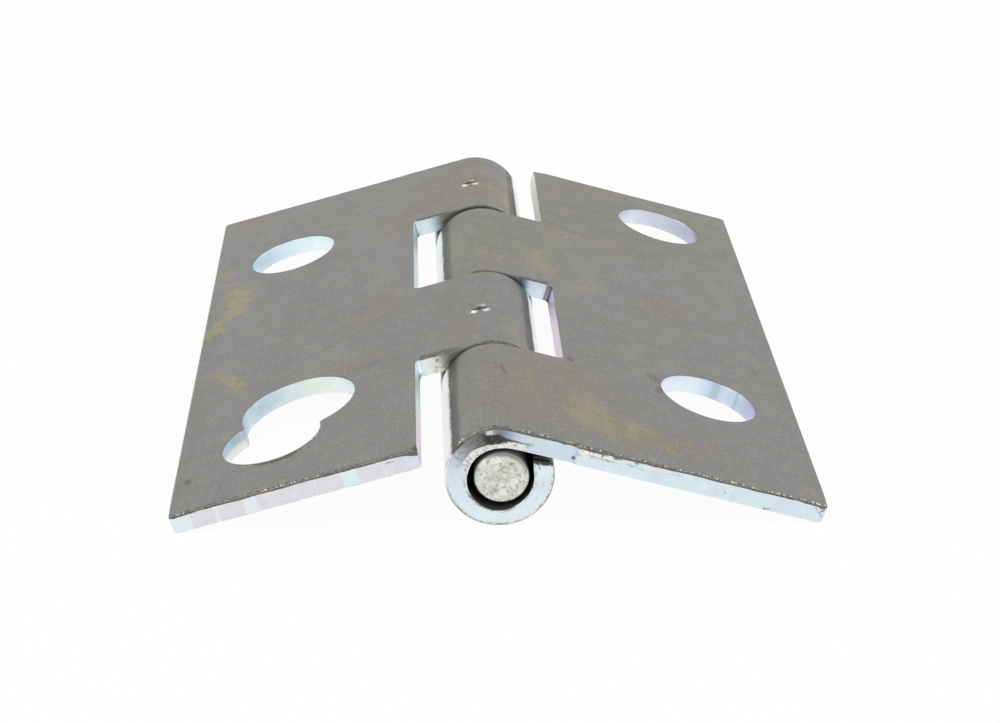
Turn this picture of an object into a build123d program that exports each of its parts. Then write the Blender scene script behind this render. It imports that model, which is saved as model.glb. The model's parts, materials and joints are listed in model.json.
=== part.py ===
from build123d import *
import math
import os

# A dryer door hinge: a small butt hinge of zinc-plated steel sheet, lying as it rests on a table.
# It is three pieces: two stamped leaves, whose tabs are curled into knuckles, and a plain wire pin.
# The pin is locked in the left leaf's knuckles by two punch marks, and the right leaf swings on it.
# All sizes are in millimetres. +Z is up, +Y runs along the pin and the keyhole end faces -Y.
# The origin is on the table, under the middle of the pin.

# Sheet and curl. Each leaf lies tangent to the top of its knuckles.
sheet = 1.55
knuckle_radius = 4.15
curl_sweep = 290.0
lip_gap = 0.35
lip_round = 0.35

# Leaves. Distances out from the pin are measured along the leaf, from the line over the pin's axis.
leaf_length = 63.5
leaf_width = 24.8
outer_corner = 0.5
tip_round = 0.45
edge_roll = 0.2

# Knuckles, from the keyhole end: right, left, right, left.
first_joint = 16.45
second_joint = 32.4
third_joint = 48.95
joint_gap = 0.2
third_joint_gap = 0.9
left_window_edge = 5.33
right_window_edge = 4.85
window_corner = 0.5

# The right leaf's front knuckle stands back a little from the edge of its leaf.
front_setback = 0.25
setback_ramp = 0.25

# Screw holes, and the keyhole that lets the left leaf hang on a loosened screw.
screw_hole = 8.0
hole_line = 17.1
hole_pitch = 40.6
left_first_hole = 9.15
right_last_hole = 7.3
keyhole_head = 9.45
keyhole_drop = 5.15
keyhole_side = 2.0

# Pin, with sheared and slightly rounded ends. The punch marks have pushed it off the bores' middle.
pin_diameter = 4.1
pin_recess = 0.12
pin_end_round = 0.25
pin_push = 0.09
pin_lean = 0.13

# Punch marks over the pin, halfway along each of the left leaf's knuckles.
mark_diameter = 1.7
mark_depth = 0.6
mark_bottom = 0.4
nub_base = 2.4
nub_bite = 0.1

# Worked out from the sizes above.
bore_radius = knuckle_radius - sheet
pin_radius = pin_diameter / 2
pin_front = front_setback + pin_recess
pin_length = leaf_length - pin_recess - pin_front
right_first_hole = leaf_length - right_last_hole - hole_pitch
overcut = knuckle_radius + 1.0

right_knuckles = [
    (front_setback, first_joint - joint_gap / 2),
    (second_joint + joint_gap / 2, third_joint - third_joint_gap / 2),
]
left_knuckles = [
    (first_joint + joint_gap / 2, second_joint - joint_gap / 2),
    (third_joint + third_joint_gap / 2, leaf_length),
]
left_windows = [(-overcut, left_knuckles[0][0]), (left_knuckles[0][1], left_knuckles[1][0])]
right_windows = [(right_knuckles[0][1], right_knuckles[1][0]), (right_knuckles[1][1], leaf_length + overcut)]


def rest_tilt():
    """Angle at which a leaf slopes down when its rounded tip and its knuckles all touch the table."""
    up = bore_radius + tip_round
    out = leaf_width - tip_round
    reach = math.hypot(up, out)
    return math.degrees(math.acos((tip_round - knuckle_radius) / reach) - math.atan2(out, up))


def leaf_section():
    """Section across the pin: the flat of the leaf, the curl round the pin and its short straight tail."""
    end = math.radians(90 + curl_sweep)
    tail = (bore_radius - lip_gap - knuckle_radius * math.sin(end)) / math.cos(end)
    tail_way = Vector(-math.sin(end), math.cos(end)) * tail
    with BuildSketch(Plane.XZ) as section:
        with BuildLine():
            outer = CenterArc((0, 0), knuckle_radius, 90, curl_sweep)
            inner = CenterArc((0, 0), bore_radius, 90, curl_sweep)
            outer_tail = Line(outer @ 1, outer @ 1 + tail_way)
            inner_tail = Line(inner @ 1, inner @ 1 + tail_way)
            Line(outer_tail @ 1, inner_tail @ 1)
            Polyline(outer @ 0, (leaf_width, knuckle_radius), (leaf_width, bore_radius), inner @ 0)
        make_face()
        lip = section.vertices().sort_by_distance(section_point(outer_tail @ 1))[0]
        fillet(lip, radius=lip_round)
        tip = section.vertices().sort_by_distance(section_point(Vector(leaf_width, bore_radius)))[0]
        fillet(tip, radius=tip_round)
    return section.sketch


def section_point(flat):
    """A point of the section's own plane as a point of the sketch being drawn."""
    return (flat.X, flat.Y, 0)


def window(edge, start, end):
    """Opening in the blank for the other leaf's knuckle, from past the curl out to its edge."""
    area = Pos((edge - overcut) / 2, (start + end) / 2) * Rectangle(edge + overcut, end - start)
    inner_corners = area.vertices().group_by(Axis.X)[-1]
    return fillet(inner_corners, window_corner)


def blank_outline(window_edge, windows):
    """The flat sheet as it leaves the press, seen from above, before its tabs are curled."""
    length = leaf_width + overcut
    outline = Pos((leaf_width - overcut) / 2, leaf_length / 2) * Rectangle(length, leaf_length)
    outline = fillet(outline.vertices().group_by(Axis.X)[-1], outer_corner)
    for start, end in windows:
        outline -= window(window_edge, start, end)
    return outline


def screw_holes(first):
    """The leaf's two screw holes, one behind the other."""
    return [Pos(hole_line, first + place) * Circle(screw_hole / 2) for place in (0, hole_pitch)]


def left_outline():
    """Blank of the left leaf, whose front screw hole grows into the keyhole's round head."""
    outline = blank_outline(left_window_edge, left_windows)
    for hole in screw_holes(left_first_hole):
        outline -= hole
    head = Pos(hole_line - keyhole_side, left_first_hole + keyhole_drop) * Circle(keyhole_head / 2)
    return outline - head


def right_outline():
    """Blank of the right leaf, whose front tab stands back from the leaf's front edge."""
    outline = blank_outline(right_window_edge, right_windows)
    for hole in screw_holes(right_first_hole):
        outline -= hole
    ramp_end = right_window_edge + setback_ramp
    setback = Polyline(
        (-overcut, -overcut), (ramp_end, -overcut), (ramp_end, 0), (right_window_edge, front_setback),
        (-overcut, front_setback), close=True
    )
    return outline - make_face(setback)


def curled_leaf(outline):
    """A leaf in its own frame: the curled section, kept only where the blank has metal."""
    curled = extrude(leaf_section(), leaf_length, dir=(0, 1, 0))
    height = 2 * overcut
    return rolled(curled & Pos(0, 0, -overcut) * extrude(outline, height, dir=(0, 0, 1)))


def rolled(leaf):
    """The leaf with the soft edge that the punch leaves all round its upper side, over the curl too."""
    top = leaf.faces().filter_by(Plane.XY).sort_by(Axis.Z)[-1]
    over_pin = top.edges().filter_by(Axis.Y).group_by(Axis.X)[0]
    return chamfer(top.edges() - over_pin, edge_roll)


def punch_mark(along):
    """The punch's pit over the pin, to cut away."""
    pit = Cone(mark_bottom / 2, mark_diameter / 2, mark_depth)
    return Pos(0, along, knuckle_radius - mark_depth / 2) * pit


def lock_nub(along):
    """The metal that the punch drives in, from inside the knuckle's wall down onto the pin."""
    top = bore_radius + sheet / 4
    bottom = pin_radius - pin_push - nub_bite
    nub = Cone(mark_diameter / 2, nub_base / 2, top - bottom)
    return Pos(0, along, (top + bottom) / 2) * nub


def hinge_pin():
    """The wire pin in the left leaf's frame, from just inside one end of the hinge to the other."""
    middle = pin_front + pin_length / 2
    pin = Pos(-pin_lean, middle, -pin_push) * Rot(90, 0, 0) * Cylinder(pin_radius, pin_length)
    return fillet(pin.edges().filter_by(GeomType.CIRCLE), pin_end_round)


def left_leaf():
    """The keyhole leaf, punched onto the pin, in its own frame."""
    leaf = curled_leaf(left_outline())
    for start, end in left_knuckles:
        middle = (start + end) / 2
        leaf += lock_nub(middle) - hinge_pin()
        leaf -= punch_mark(middle)
    return leaf


def right_leaf():
    """The leaf that swings, in its own frame."""
    return curled_leaf(right_outline())


def right_side(piece):
    """A piece sloped down to the right about the knuckles' axis and set on the table."""
    return Pos(0, -leaf_length / 2, knuckle_radius) * Rot(0, rest_tilt(), 0) * piece


def left_side(piece):
    """A piece of the left leaf, which is drawn like the right one and mirrored over."""
    return mirror(right_side(piece), about=Plane.YZ)


nodes = {
    "left_leaf": left_side(left_leaf()),
    "right_leaf": right_side(right_leaf()),
    "hinge_pin": left_side(hinge_pin()),
}

os.makedirs("parts", exist_ok=True)
for name, piece in nodes.items():
    export_step(piece, f"parts/{name}.step")
    print(name, "volume", round(piece.volume, 1), "faces", len(piece.faces()))
print("rest tilt", round(rest_tilt(), 3))
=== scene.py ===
# %% [markdown]
# # A dryer door hinge, from blank to finished plate
#
# The real object is three pieces: two leaves stamped from zinc-plated steel sheet, whose tabs are curled
# into knuckles, and a pin of plain wire that two punch marks lock in the left leaf. The CAD frame already
# holds their sizes, places and the joint. This lesson makes what CAD leaves plain: the soft and ragged
# edges that a press leaves, the punch marks, the cropped wire, and the colours of clear zinc plate.
#
# The outer sizes, the holes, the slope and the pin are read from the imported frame, so a change there is
# followed here.

# %% Load the frame
import json
import math

import bmesh
import bpy
from mathutils import Matrix, Vector, noise


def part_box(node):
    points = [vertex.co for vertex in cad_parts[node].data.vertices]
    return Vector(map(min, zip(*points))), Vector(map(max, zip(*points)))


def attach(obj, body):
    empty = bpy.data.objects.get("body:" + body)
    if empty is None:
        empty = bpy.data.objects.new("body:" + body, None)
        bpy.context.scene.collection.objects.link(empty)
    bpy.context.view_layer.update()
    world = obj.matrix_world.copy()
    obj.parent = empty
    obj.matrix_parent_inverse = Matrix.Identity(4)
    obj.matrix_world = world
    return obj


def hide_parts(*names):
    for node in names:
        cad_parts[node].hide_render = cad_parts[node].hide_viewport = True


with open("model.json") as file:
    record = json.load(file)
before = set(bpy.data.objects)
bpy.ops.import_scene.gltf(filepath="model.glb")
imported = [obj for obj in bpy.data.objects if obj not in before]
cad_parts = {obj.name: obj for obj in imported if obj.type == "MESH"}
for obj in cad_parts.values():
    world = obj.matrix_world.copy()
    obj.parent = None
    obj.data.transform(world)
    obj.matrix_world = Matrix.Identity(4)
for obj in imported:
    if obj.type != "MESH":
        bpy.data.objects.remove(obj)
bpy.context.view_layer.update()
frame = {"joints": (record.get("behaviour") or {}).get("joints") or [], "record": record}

# %% [markdown]
# ## Sizes
#
# A press works in millimetres, so the meshes are built in millimetres and shrunk to metres when they are
# done. Sizes that the frame knows come from it: the pin's height is the knuckle's radius, a screw hole's
# mount gives the sheet's thickness, the hole's radius and the slope of the leaf. The rest are the same
# driving sizes as in the CAD model, because a frame doesn't name them.

# %% Sizes read from the frame
MM = 0.001
mounts = {mount["name"]: mount for mount in frame["record"]["mounts"]}
right_hole = mounts["right_front_screw_hole"]

knuckle_radius = frame["joints"][0]["pos_m"][2] / MM
sheet = right_hole["dims"]["length_mm"]
screw_radius = right_hole["dims"]["r_mm"]
slope = math.atan2(right_hole["axis"][0], right_hole["axis"][2])

low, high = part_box("right_leaf")
leaf_length = (high.y - low.y) / MM
edge_roll = 0.2
leaf_width = (high.x / MM - (knuckle_radius - edge_roll) * math.sin(slope)) / math.cos(slope)
bore_radius = knuckle_radius - sheet
print("length", round(leaf_length, 2), "width", round(leaf_width, 2), "slope", round(math.degrees(slope), 2))


def along_leaf(mount_name):
    """Where a mount lies on the flat sheet: distance out from the pin, and from the keyhole end."""
    x, y, z = (value / MM for value in mounts[mount_name]["pos_m"])
    out = abs(x) * math.cos(slope) - (z - knuckle_radius) * math.sin(slope)
    return Vector((out, y + leaf_length / 2))


# %% Sizes that the frame doesn't name
first_joint, second_joint, third_joint = 16.45, 32.4, 48.95
joint_gap, third_gap = 0.2, 0.9
left_window_edge, right_window_edge = 5.33, 4.85
corner_radius = 0.5
front_setback, setback_ramp = 0.25, 0.25
curl_angle = math.radians(290)
lip_gap, lip_round = 0.35, 0.35
tip_round = 0.45
keyhole_radius = 4.725
keyhole_shift = Vector((-2.0, 5.15))
mark_side = -0.3

left_knuckles = [
    (first_joint + joint_gap / 2, second_joint - joint_gap / 2),
    (third_joint + third_gap / 2, leaf_length),
]
right_knuckles = [
    (front_setback, first_joint - joint_gap / 2),
    (second_joint + joint_gap / 2, third_joint - third_gap / 2),
]
punch_marks = [Vector((mark_side, (start + end) / 2)) for start, end in left_knuckles]


# %% Screw holes and keyhole on the blank
seat = along_leaf("left_keyhole")
keyhole = [(seat, screw_radius), (seat + keyhole_shift, keyhole_radius)]
left_holes = [(along_leaf("left_rear_screw_hole"), screw_radius)]
right_hole_names = ("right_front_screw_hole", "right_rear_screw_hole")
right_holes = [(along_leaf(name), screw_radius) for name in right_hole_names]
for centre, radius in left_holes + keyhole + right_holes:
    print("hole at", tuple(round(value, 2) for value in centre), "radius", radius)

# The sheet bends round the middle of its thickness, so the tab's length on the blank comes from there.
tail_turn = curl_angle + math.pi / 2
tail = (bore_radius - lip_gap - knuckle_radius * math.sin(tail_turn)) / math.cos(tail_turn)
bend_radius = knuckle_radius - sheet / 2
curl_length = bend_radius * curl_angle
tab_end = -(curl_length + tail)
print("tab on the blank", round(-tab_end, 2), "mm past the pin")

# %% The pin's place, which the punched metal reaches
pin_low, pin_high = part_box("hinge_pin")
pin_radius = (pin_high.x - pin_low.x) / 2 / MM
pin_middle = (pin_low + pin_high) / 2 / MM
pin_height = -pin_middle.x * math.sin(slope) + (pin_middle.z - knuckle_radius) * math.cos(slope)
nub_height = bore_radius - pin_radius - pin_height - 0.02
print("pin radius", round(pin_radius, 3), "height", round(pin_height, 3), "nub", round(nub_height, 3))

# %% [markdown]
# ## The blank
#
# A leaf starts as a flat blank. Its outline is cut in one hit: tabs, windows, screw holes and keyhole.
# An outline could be typed in as a list of points, but it is shorter to do what the press tool does:
# start from a rectangle, slice it along the knuckle joints and take the windows out.
#
# The round corners come from a bevel of the corner vertices. The border is then inset a few times, which
# gives narrow strips all along the cut: the soft shoulder that the punch leaves is shaped from them later.

# %% Outline helpers
EDGE_STEP = 0.25
CORNER_SEGMENTS = 5
SHOULDER_STEPS = (0.03, 0.05, 0.08, 0.1, 0.14)
SHOULDER = sum(SHOULDER_STEPS)


def cut_line(bm, point, normal):
    """Slices every face along a straight line, and keeps both sides."""
    everything = bm.verts[:] + bm.edges[:] + bm.faces[:]
    bmesh.ops.bisect_plane(bm, geom=everything, dist=1e-6, plane_co=point, plane_no=normal)


def rectangle(x_low, x_high, y_low, y_high):
    """One flat face with those sides."""
    bm = bmesh.new()
    bmesh.ops.create_grid(bm, x_segments=1, y_segments=1, size=0.5)
    bmesh.ops.scale(bm, vec=(x_high - x_low, y_high - y_low, 1), verts=bm.verts)
    middle = ((x_low + x_high) / 2, (y_low + y_high) / 2, 0)
    bmesh.ops.translate(bm, vec=middle, verts=bm.verts)
    return bm


def remove_window(bm, edge, start, end):
    """Takes out the sheet between the leaf's straight window edge and the end of the tabs."""
    cut_line(bm, (edge, 0, 0), (1, 0, 0))
    cut_line(bm, (0, start, 0), (0, 1, 0))
    cut_line(bm, (0, end, 0), (0, 1, 0))
    middles = [(face, face.calc_center_median()) for face in bm.faces]
    gone = [face for face, middle in middles if middle.x < edge and start < middle.y < end]
    bmesh.ops.delete(bm, geom=gone, context="FACES")


def merge_to_one_face(bm):
    """Makes the pieces of a sliced sheet one face again, with corners only where it turns."""
    bmesh.ops.dissolve_faces(bm, faces=bm.faces[:])
    bmesh.ops.dissolve_limit(bm, angle_limit=0.01, verts=bm.verts[:], edges=bm.edges[:])


def round_corners(bm, radius, chosen):
    """Rounds the outline's chosen corners."""
    corners = [vert for vert in bm.verts if chosen(vert.co)]
    bmesh.ops.bevel(bm, geom=corners, offset=radius, segments=CORNER_SEGMENTS, profile=0.5,
                    affect="VERTICES", material=-1, offset_type="OFFSET")


def divide_border(bm, edges):
    """Divides the border into short lengths, so that it can be made uneven."""
    for edge in list(edges):
        cuts = int(edge.calc_length() / EDGE_STEP)
        if cuts > 0:
            bmesh.ops.subdivide_edges(bm, edges=[edge], cuts=cuts)


def inset_border(bm, face, rim):
    """Insets one face in narrow steps and stores in the rim layer how far each line is from the cut."""
    distance = 0.0
    for vert in face.verts:
        vert[rim] = distance
    for step in SHOULDER_STEPS:
        distance += step
        bmesh.ops.inset_region(bm, faces=[face], thickness=step, use_boundary=True, use_even_offset=True)
        for vert in face.verts:
            vert[rim] = distance
    return face


# %% Punched holes and punch marks in the blank
HOLE_SIDES = 96
MARK_SIDES = 40
MARK_REACH = 1.5
MARK_STEP = 0.1


def circle_face(bm, centre, radius, sides):
    """A flat round face."""
    place = Matrix.Translation((centre[0], centre[1], 0))
    made = bmesh.ops.create_circle(bm, cap_ends=True, radius=radius, segments=sides, matrix=place)
    return made["verts"][0].link_faces[0]


def shoulder_of_hole(bm, face, rim):
    """Insets a hole's outline towards the cut and takes out the slug."""
    distance = SHOULDER
    for vert in face.verts:
        vert[rim] = distance
    for step in reversed(SHOULDER_STEPS):
        distance -= step
        bmesh.ops.inset_region(bm, faces=[face], thickness=step, use_boundary=True, use_even_offset=True)
        for vert in face.verts:
            vert[rim] = max(distance, 0.0)
    bmesh.ops.delete(bm, geom=[face], context="FACES_ONLY")


def punch_hole(bm, centre, radius, rim):
    """A round hole with its own shoulder strips: the inner face is what the punch takes out."""
    face = circle_face(bm, centre, radius + SHOULDER, HOLE_SIDES)
    shoulder_of_hole(bm, face, rim)


def punch_keyhole(bm, holes, rim):
    """Two round holes that run into each other, joined to one outline before it gets its shoulder."""
    circles = [(centre, radius + SHOULDER) for centre, radius in holes]
    rings = []
    for centre, radius in circles:
        place = Matrix.Translation((centre.x, centre.y, 0))
        made = bmesh.ops.create_circle(bm, radius=radius, segments=HOLE_SIDES, matrix=place)
        rings.append(made["verts"])
    inside = []
    for ring, (centre, radius) in zip(rings, reversed(circles)):
        inside += [vert for vert in ring if (vert.co.xy - centre).length < radius]
    bmesh.ops.delete(bm, geom=inside, context="VERTS")
    kept = [vert for ring in rings for vert in ring if vert.is_valid]
    ends = [vert for vert in kept if len(vert.link_edges) == 1]
    for end in ends:
        if len(end.link_edges) == 1:
            others = [other for other in ends if other is not end and len(other.link_edges) == 1]
            nearest = min(others, key=lambda other: (other.co - end.co).length)
            bm.edges.new((end, nearest))
    outline = list({edge for vert in kept for edge in vert.link_edges})
    face = bmesh.ops.contextual_create(bm, geom=outline)["faces"][0]
    shoulder_of_hole(bm, face, rim)


def mark_rings(bm, centre, rim):
    """Rings round the place of a punch mark, still flat."""
    face = circle_face(bm, centre, MARK_REACH, MARK_SIDES)
    for vert in face.verts:
        vert[rim] = SHOULDER
    for _ in range(round(MARK_REACH / MARK_STEP) - 1):
        bmesh.ops.inset_region(bm, faces=[face], thickness=MARK_STEP, use_boundary=True, use_even_offset=True)
        for vert in face.verts:
            vert[rim] = SHOULDER
    bmesh.ops.poke(bm, faces=[face])


# %% [markdown]
# ## From blank to solid sheet
#
# The area between the border and the holes is filled with one operator, triangle_fill, which treats
# closed loops inside others as holes. Straight slices across the sheet then give it lines to bend along.
# They are close together on the tabs, which are curled, and wide apart on the flat.
#
# Extruding the faces gives the sheet its thickness. Slices parallel to the sheet divide the cut wall, so
# that its bright upper part and its torn lower part can differ.

# %% Filling, slicing and thickness
BEND_STEP = 0.28
FLAT_STEP = 2.0
WALL_LEVELS = (0.12, 0.26, 0.42, 0.6, 0.78, 0.96, 1.14, 1.32, 1.45)
NEAR_TAB_END = (0.04, 0.1, 0.19)
OVER_PIN = (0.0, 0.3, 0.8)
NEAR_TIP = (0.04, 0.1, 0.19, 0.3, 0.45)


def fill_sheet(bm, rim):
    """Fills the area between the border strips and the holes."""
    bmesh.ops.delete(bm, geom=[edge for edge in bm.edges if edge.is_wire], context="EDGES")
    open_edges = [edge for edge in bm.edges if edge.is_boundary]
    loops = [edge for edge in open_edges if all(vert[rim] > SHOULDER - 1e-4 for vert in edge.verts)]
    bmesh.ops.triangle_fill(bm, use_beauty=True, use_dissolve=False, edges=loops)
    for vert in bm.verts:
        vert[rim] = min(vert[rim], SHOULDER)


def slice_sheet(bm):
    """Lines across the tabs to bend along, and a coarse grid on the flat."""
    count = round(-tab_end / BEND_STEP)
    for index in range(1, count):
        cut_line(bm, (tab_end * index / count, 0, 0), (1, 0, 0))
    single = [tab_end + near_end for near_end in NEAR_TAB_END] + list(OVER_PIN)
    for out in single + [leaf_width - near_tip for near_tip in NEAR_TIP]:
        cut_line(bm, (out, 0, 0), (1, 0, 0))
    for index in range(1, int(leaf_width / FLAT_STEP)):
        cut_line(bm, (FLAT_STEP * index, 0, 0), (1, 0, 0))
    for index in range(1, int(leaf_length / FLAT_STEP)):
        cut_line(bm, (0, FLAT_STEP * index, 0), (0, 1, 0))


def give_thickness(bm):
    """Extrudes the flat sheet down and slices its walls."""
    bmesh.ops.recalc_face_normals(bm, faces=bm.faces[:])
    if bm.faces[0].normal.z < 0:
        bmesh.ops.reverse_faces(bm, faces=bm.faces[:])
    made = bmesh.ops.extrude_face_region(bm, geom=bm.faces[:], use_keep_orig=True)
    lower = [item for item in made["geom"] if isinstance(item, bmesh.types.BMVert)]
    bmesh.ops.translate(bm, vec=(0, 0, -sheet), verts=lower)
    for depth in WALL_LEVELS:
        cut_line(bm, (0, 0, -depth), (0, 0, 1))
    bmesh.ops.recalc_face_normals(bm, faces=bm.faces[:])


# %% The two blanks
def finish_blank(bm, window_edge, round_holes, joined_holes=(), mark_places=()):
    """Corners, border strips, holes, filling and thickness, in the order of the press."""
    rim = bm.verts.layers.float.new("rim")
    round_corners(bm, corner_radius, lambda co: co.x > leaf_width - 0.1)
    joints = (first_joint, second_joint, third_joint)
    round_corners(bm, corner_radius, lambda co: abs(co.x - window_edge) < 0.01
                  and min(abs(co.y - joint) for joint in joints) < 1.0)
    divide_border(bm, bm.edges)
    border = inset_border(bm, max(bm.faces, key=lambda face: face.calc_area()), rim)
    bmesh.ops.delete(bm, geom=[border], context="FACES_ONLY")
    for centre, radius in round_holes:
        punch_hole(bm, centre, radius, rim)
    if joined_holes:
        punch_keyhole(bm, joined_holes, rim)
    for place in mark_places:
        mark_rings(bm, place, rim)
    fill_sheet(bm, rim)
    slice_sheet(bm)
    give_thickness(bm)
    return bm


def right_blank():
    """Blank of the right leaf, with its front tab set back a little."""
    bm = rectangle(tab_end, leaf_width, 0, leaf_length)
    remove_window(bm, right_window_edge, -1.0, right_knuckles[0][0])
    remove_window(bm, right_window_edge, right_knuckles[0][1], right_knuckles[1][0])
    remove_window(bm, right_window_edge, right_knuckles[1][1], leaf_length + 1.0)
    merge_to_one_face(bm)
    step = min(bm.verts, key=lambda vert: (vert.co - Vector((right_window_edge, 0, 0))).length)
    step.co.x += setback_ramp
    return finish_blank(bm, right_window_edge, right_holes)


def left_blank():
    """Blank of the left leaf, with the keyhole and the places of the punch marks."""
    bm = rectangle(tab_end, leaf_width, 0, leaf_length)
    remove_window(bm, left_window_edge, -1.0, left_knuckles[0][0])
    remove_window(bm, left_window_edge, left_knuckles[0][1], left_knuckles[1][0])
    merge_to_one_face(bm)
    return finish_blank(bm, left_window_edge, left_holes, keyhole, punch_marks)


# %% [markdown]
# ## What the press leaves
#
# A punch drags the upper face down with it, cuts a smooth band, and then tears the rest. So the cut wall
# has a round shoulder on top, a smooth band, a torn band that lies a little deeper, and a sharp lower edge.
# None of this is even. A Bevel modifier would give a perfectly even edge, so the shoulder is worked out
# for each vertex from its distance to the cut, with some noise in its size.
#
# Other marks come from the same hits: the pits over the pin, the metal that they push in below, corners
# that are dragged down further, and a leaf that isn't quite flat.

# %% Random and smooth values
def uneven(place, size, seed=0.0):
    """Smooth random value from -1 to 1 that changes over the given size in millimetres."""
    return noise.noise(Vector((place[0] / size + seed, place[1] / size - seed, place[2] / size + 2 * seed)))


def smooth(value, start, end):
    """Smooth step from 0 at start to 1 at end."""
    t = min(max((value - start) / (end - start), 0.0), 1.0)
    return t * t * (3 - 2 * t)


def between(value, start, end, fade):
    """1 between start and end, with a soft fade at both."""
    return smooth(value, start - fade, start + fade) * (1 - smooth(value, end - fade, end + fade))


def bell(value, middle, width):
    """Bell curve that is 1 at the middle."""
    return math.exp(-(((value - middle) / width) ** 2))


def oval_bell(away, reach_out, reach_along):
    """Bell curve over an oval, at a distance from its middle."""
    return bell(math.hypot(away.x / reach_out, away.y / reach_along), 0, 1)


def level(stops, value):
    """A number or colour between stops, which are (value, number or colour) with rising values."""
    if value <= stops[0][0]:
        return stops[0][1]
    for (start, first), (end, second) in zip(stops, stops[1:]):
        if value < end:
            share = (value - start) / (end - start)
            if isinstance(first, tuple):
                return tuple(a + (b - a) * share for a, b in zip(first, second))
            return first + (second - first) * share
    return stops[-1][1]


# %% Shoulder and torn wall
FRONT_STRIP = 1.0
SEAM = 0.05


def into_hole(place, holes):
    """Direction into the hole beside which a point lies, or nothing away from the holes."""
    for centre, radius in holes:
        way = centre - place.xy
        if way.length < radius + SHOULDER + SEAM:
            return way.normalized()
    return None


def round_drop(distance, radius):
    """How far a rounded edge lies under the face, at a distance from the cut."""
    within = min(max(distance, 0.0), radius)
    return radius - math.sqrt(within * (2 * radius - within))


def on_window_side(place, window_edge):
    """Whether a point lies along the straight side of a window."""
    return abs(place.x - window_edge) < 0.45 and place.y > 0.8


def on_cut(vert, rim):
    """Whether a vertex lies on the cut itself."""
    return vert[rim] < 1e-4


def shoulder_size(place, leaf):
    """Radius of the soft shoulder: small round the holes, larger along the front and on the tabs."""
    if into_hole(place, leaf["holes"]) is not None:
        return 0.07 + 0.02 * uneven(place, 0.8, 6.1)
    if on_window_side(place, leaf["window_edge"]):
        return 0.05
    size = 0.1 + (level(leaf["front_shoulder"], place.x) - 0.1) * (1 - smooth(place.y, 0.6, 1.6))
    return size * (1 + 0.22 * uneven(place, 1.9, 3.1) + 0.25 * uneven(place, 0.55, 8.4))


def out_of_wall(vert):
    """Direction in which the cut wall at this vertex faces, or nothing where there is no wall."""
    out = Vector((0, 0, 0))
    for face in vert.link_faces:
        if abs(face.normal.z) < 0.5:
            out += face.normal * face.calc_area()
    out.z = 0
    return out.normalized() if out.length > 1e-9 else None


def tear_depth(place, leaf):
    """Depth at which the smooth band of the cut ends. In the holes it ends near the lower edge."""
    on_tab, on_flat = leaf["tear"]
    share = on_tab + (on_flat - on_tab) * smooth(place.x, 2.5, 6.0)
    if into_hole(place, leaf["holes"]) is not None:
        share = 0.9
    return share * sheet + 0.08 * uneven((place.x, place.y, 0), 1.6, 5.7)


def torn_wall(depth, place, tear):
    """How far the cut wall lies behind the smooth band, at a depth under the face."""
    torn = smooth(depth, tear, tear + 0.1)
    groove = max(0.0, 0.025 * bell(depth, tear + 0.06, 0.08) * (1 + uneven(place, 1.1, 7.7)))
    rough = 0.012 * uneven(place, 0.5, 1.3) + 0.008 * uneven(place, 0.25, 4.9)
    return max(0.0, groove + torn * (0.02 + rough))


# %% Punch marks, dragged corners and the leaf's slight waves
MARK_RADIUS = 0.85
MARK_DEPTH = 0.6


def mark_pit(distance):
    """Depth of the punch's pit at a distance from its middle, with a low lip round it in a shallow dish."""
    pit = MARK_DEPTH * (1 - smooth(distance, 0.08, 0.9 * MARK_RADIUS))
    dish = 0.045 * (1 - smooth(distance, 0.8, MARK_REACH))
    return pit + dish - 0.022 * bell(distance, MARK_RADIUS + 0.06, 0.15)


def mark_glint(away):
    """Two painted highlights on the near lip of the dish in front of the pit."""
    outer = oval_bell(away - Vector((0.44, -0.88)), 0.3, 0.58)
    inner = oval_bell(away - Vector((-0.42, -0.9)), 0.27, 0.53)
    in_dish = 1 - smooth(away.length, 1.3, 1.48)
    return in_dish * (smooth(outer, 0.35, 0.65) + 0.75 * smooth(inner, 0.35, 0.65))


def mark_nub(distance):
    """How far the punched metal stands in from the bore, where it presses on the pin."""
    return nub_height * (1 - smooth(distance, 0.2, 1.25))


def corner_drag(place, corners):
    """Extra drop of a sharp corner, which the punch drags further down."""
    return sum(drop * bell((place.xy - corner).length, 0, reach) for corner, drop, reach in corners)


def sheet_wave(place):
    """The leaf isn't quite flat. The wave fades at the tip and on the knuckles, which set its place."""
    held = smooth(place.x, 2.0, 7.0) * (1 - smooth(place.x, leaf_width - 6.0, leaf_width - 1.0))
    return 0.035 * held * uneven((place.x, place.y, 0), 11.0, 2.2)


def side_bulge(place, depth, ends):
    """Curling squeezes the inner side of a tab out sideways and draws the outer side in."""
    curled = smooth(-place.x, -0.6, 2.5)
    shift = 0.0
    for end, way, squeeze, draw in ends:
        inside = (end - place.y) * way
        if -0.3 < inside < 2.5:
            near = 1 - smooth(inside, 0.0, 1.3)
            squeezed = squeeze * smooth(depth, 0.45 * sheet, sheet)
            drawn = draw * (1 - smooth(depth, 0.0, 0.62 * sheet))
            shift += way * near * (squeezed - drawn) * curled
    return shift


def lip_slant(place, depth):
    """The end of the tab is cut aslant: its inner side reaches a little further."""
    near_end = 1 - smooth(place.x - tab_end, 0.0, 1.6)
    return near_end * (0.13 * (1 - depth / sheet) - 0.4 * depth / sheet)


def tip_pull(place, depth):
    """Keeps the tip's upper edge, which the press leaves sharper than the CAD model's, inside its box."""
    return max(0.0, 0.06 - 0.283 * depth) * (1 - smooth(leaf_width - place.x, 0.0, 0.3))


# %% The press hits the blank
CLEARANCE = 0.005


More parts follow.
